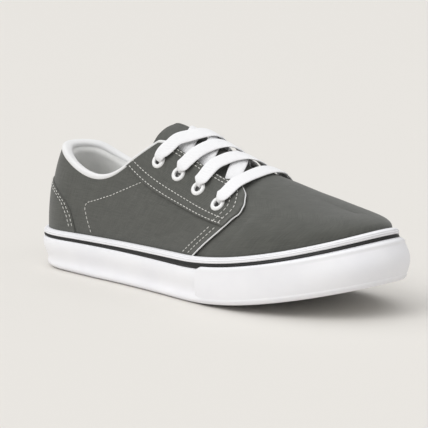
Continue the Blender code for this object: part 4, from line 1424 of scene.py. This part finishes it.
def strand(name, knots, count):
    """Flat lace through its knots. Where it turns straight down into an eyelet it keeps the
    direction across that it had before."""
    reach, s, lift, width = [np.array(column) for column in zip(*knots)]
    points, normals = surface_at(reach, s, lift)
    gone = np.concatenate([[0], np.cumsum(np.linalg.norm(np.diff(points, axis=0), axis=1))])
    spots = [Spot(*row) for row in np.column_stack([gone, points, normals, width])]
    places = np.linspace(0, gone[-1], count + 1)
    centre = np.stack([smooth(spots, axis)(places) for axis in ("x", "y", "z")], -1)
    normal = unit(np.stack([smooth(spots, axis)(places) for axis in ("nx", "ny", "nz")], -1))
    wide = smooth(spots, "width")(places)
    ahead = unit(np.gradient(centre, axis=0))
    across = np.cross(ahead, normal)
    steep = np.linalg.norm(across, axis=-1) < STEEP
    flat_ones = np.flatnonzero(~steep)
    for i in np.flatnonzero(steep):
        nearest = flat_ones[np.argmin(np.abs(flat_ones - i))]
        across[i] = across[nearest]
    across = unit(across)
    face = unit(np.cross(across, ahead))
    thick = LACE_THICKNESS * (LACE_WIDTH / wide) ** THICKENING

    def place(u, v):
        k = np.rint(v * count).astype(int)
        side, rise = rounded_box(TAU * u, LACE_WIDE_POWER, LACE_HIGH_POWER)
        return (centre[k] + across[k] * (side * wide[k] / 2)[:, None]
                + face[k] * (rise * thick[k] / 2)[:, None])

    made = patch(name, 28, count, place, lace_braid)
    close_seam(made, cap_ends=True)
    return made


# Where the lace goes down: heights over the last, how narrow it is drawn, and how far from
# the eyelet's centre it lies, as a reach
STAY_REACH = 1 - THROAT_CLIMB
ON_STAY = OVERLAY_LIFT + LACE_THICKNESS / 2 + 0.0010
ON_RING = OVERLAY_LIFT + max(rim.rise for rim in EYELET_PROFILE) + LACE_THICKNESS / 2
NECK = 0.0042
FULL_NECK = 1.30
LOOSE_NECK = 0.95
HOLE_CENTRE = 0.004
UPPER_RIM = 0.021
IN_BORE = -0.0008
BELOW_BORE = -0.0048
UNDER_STAY = -0.0042
Step = namedtuple("Step", "reach ahead lift width")


def into_eyelet(row, side, beside):
    """Knots from the eyestay's edge over the eyelet's rim and down through its bore, where
    the lace lies against the upper rim. The top eyelet holds the lace's end too, and is full."""
    eyelet = EYELETS[row]
    out = side * (1 - eyelet.climb)
    ahead = beside - eyelet.station
    full = row == 0
    hole = out - side * (HOLE_CENTRE if full else UPPER_RIM)
    neck = NECK * (FULL_NECK if full else LOOSE_NECK)
    steps = (
        Step(side * STAY_REACH, 0.80, ON_STAY, LACE_WIDTH),
        Step(out - side * 0.070, 0.42, ON_RING + 0.0004, LACE_WIDTH * 0.99),
        Step(out - side * 0.046, 0.26, ON_RING + 0.0006, LACE_WIDTH * 0.88),
        Step(hole - side * 0.009, 0.12, ON_RING, neck * 1.4),
        Step(hole, 0.08, IN_BORE, neck),
        Step(hole, 0.08, BELOW_BORE, neck),
    )
    return [Knot(step.reach, eyelet.station + ahead * step.ahead, step.lift, step.width)
            for step in steps]


def over_tongue(crossings):
    """Knots of the full-width lace over the tongue."""
    return [Knot(c.reach, c.station, c.height / 1000, LACE_WIDTH) for c in crossings]


for row in range(len(UPPER_STRANDS)):
    pair = []
    for side, side_name, crossings in (
        (-1, "lateral", UPPER_STRANDS[row]),
        (1, "medial", LOWER_STRANDS[row]),
    ):
        hidden = Knot(
            -side * (STAY_REACH + 0.03), crossings[-1].station, UNDER_STAY, LACE_WIDTH * 0.9)
        knots = [hidden, *over_tongue(crossings)[::-1]]
        knots += into_eyelet(row, side, crossings[0].station)
        pair.append(strand("lace_%s_%d" % (side_name, row + 1), knots, 120))
    for made in pair:
        finish_piece(made, "white_cotton", "lace_crossing_%d" % (row + 1))

bottom = len(EYELETS) - 1
knots = into_eyelet(bottom, -1, BAR[0].station)[::-1] + over_tongue(BAR)
knots += into_eyelet(bottom, 1, BAR[-1].station)
finish_piece(strand("lace_bottom_bar", knots, 150), "white_cotton", "lace_bar")


# Floor and light
# A wide sheet of pale paper under an evenly lit studio: bright surroundings and two broad,
# distant lights, the stronger one overhead, so that the shoe's shadow is soft.
SURROUND = 0.40
paper, _, paper_shader = surface("studio paper", "#E3E0DB", 0.95)
paper_shader.inputs["Specular IOR Level"].default_value = 0.1
bpy.ops.object.select_all(action="DESELECT")
bpy.ops.mesh.primitive_plane_add(size=120, location=(0, 0, -0.0001))
floor = bpy.context.object
floor.name = "paper"
floor.data.materials.append(paper)

world = bpy.data.worlds.new("studio")
world.use_nodes = True
world.node_tree.nodes["Background"].inputs["Color"].default_value = linear("#FFFFFF")
world.node_tree.nodes["Background"].inputs["Strength"].default_value = SURROUND
bpy.context.scene.world = world
bpy.context.scene.view_settings.view_transform = "Standard"

Softbox = namedtuple("Softbox", "name strength spread_deg turn_deg rise_deg")
for box in (
    Softbox("overhead", 1.60, 104, -20, 80),
    Softbox("key", 0.76, 36, -12, 44),
):
    light = bpy.data.lights.new(box.name, "SUN")
    light.energy = box.strength
    light.angle = math.radians(box.spread_deg)
    lamp = bpy.data.objects.new(box.name, light)
    bpy.context.collection.objects.link(lamp)
    turn, rise = math.radians(box.turn_deg), math.radians(box.rise_deg)
    away = Vector((
        math.sin(turn) * math.cos(rise), -math.cos(turn) * math.cos(rise), math.sin(rise)))
    lamp.rotation_euler = (-away).to_track_quat("-Z", "Y").to_euler()

# Camera
# It stands where the photographer's did, at the toe's outer side and a little above the
# shoe, and is turned to the one shoe.
VIEW_AZIMUTH = math.radians(43.2)
VIEW_ELEVATION = math.radians(9.2)
VIEW_DISTANCE = 0.95
VIEW_TARGET = Vector((-0.001, -0.003, 0.045))
VIEW_CENTRE = Vector((0.006, -0.004, 0.050))
camera = bpy.data.cameras.new("camera")
camera.lens = 118
camera.sensor_width = 36
viewer = bpy.data.objects.new("camera", camera)
bpy.context.collection.objects.link(viewer)
away = Vector((
    math.sin(VIEW_AZIMUTH) * math.cos(VIEW_ELEVATION),
    -math.cos(VIEW_AZIMUTH) * math.cos(VIEW_ELEVATION),
    math.sin(VIEW_ELEVATION)))
viewer.location = VIEW_TARGET + away * VIEW_DISTANCE
viewer.rotation_euler = (VIEW_CENTRE - viewer.location).to_track_quat("-Z", "Y").to_euler()
bpy.context.scene.camera = viewer
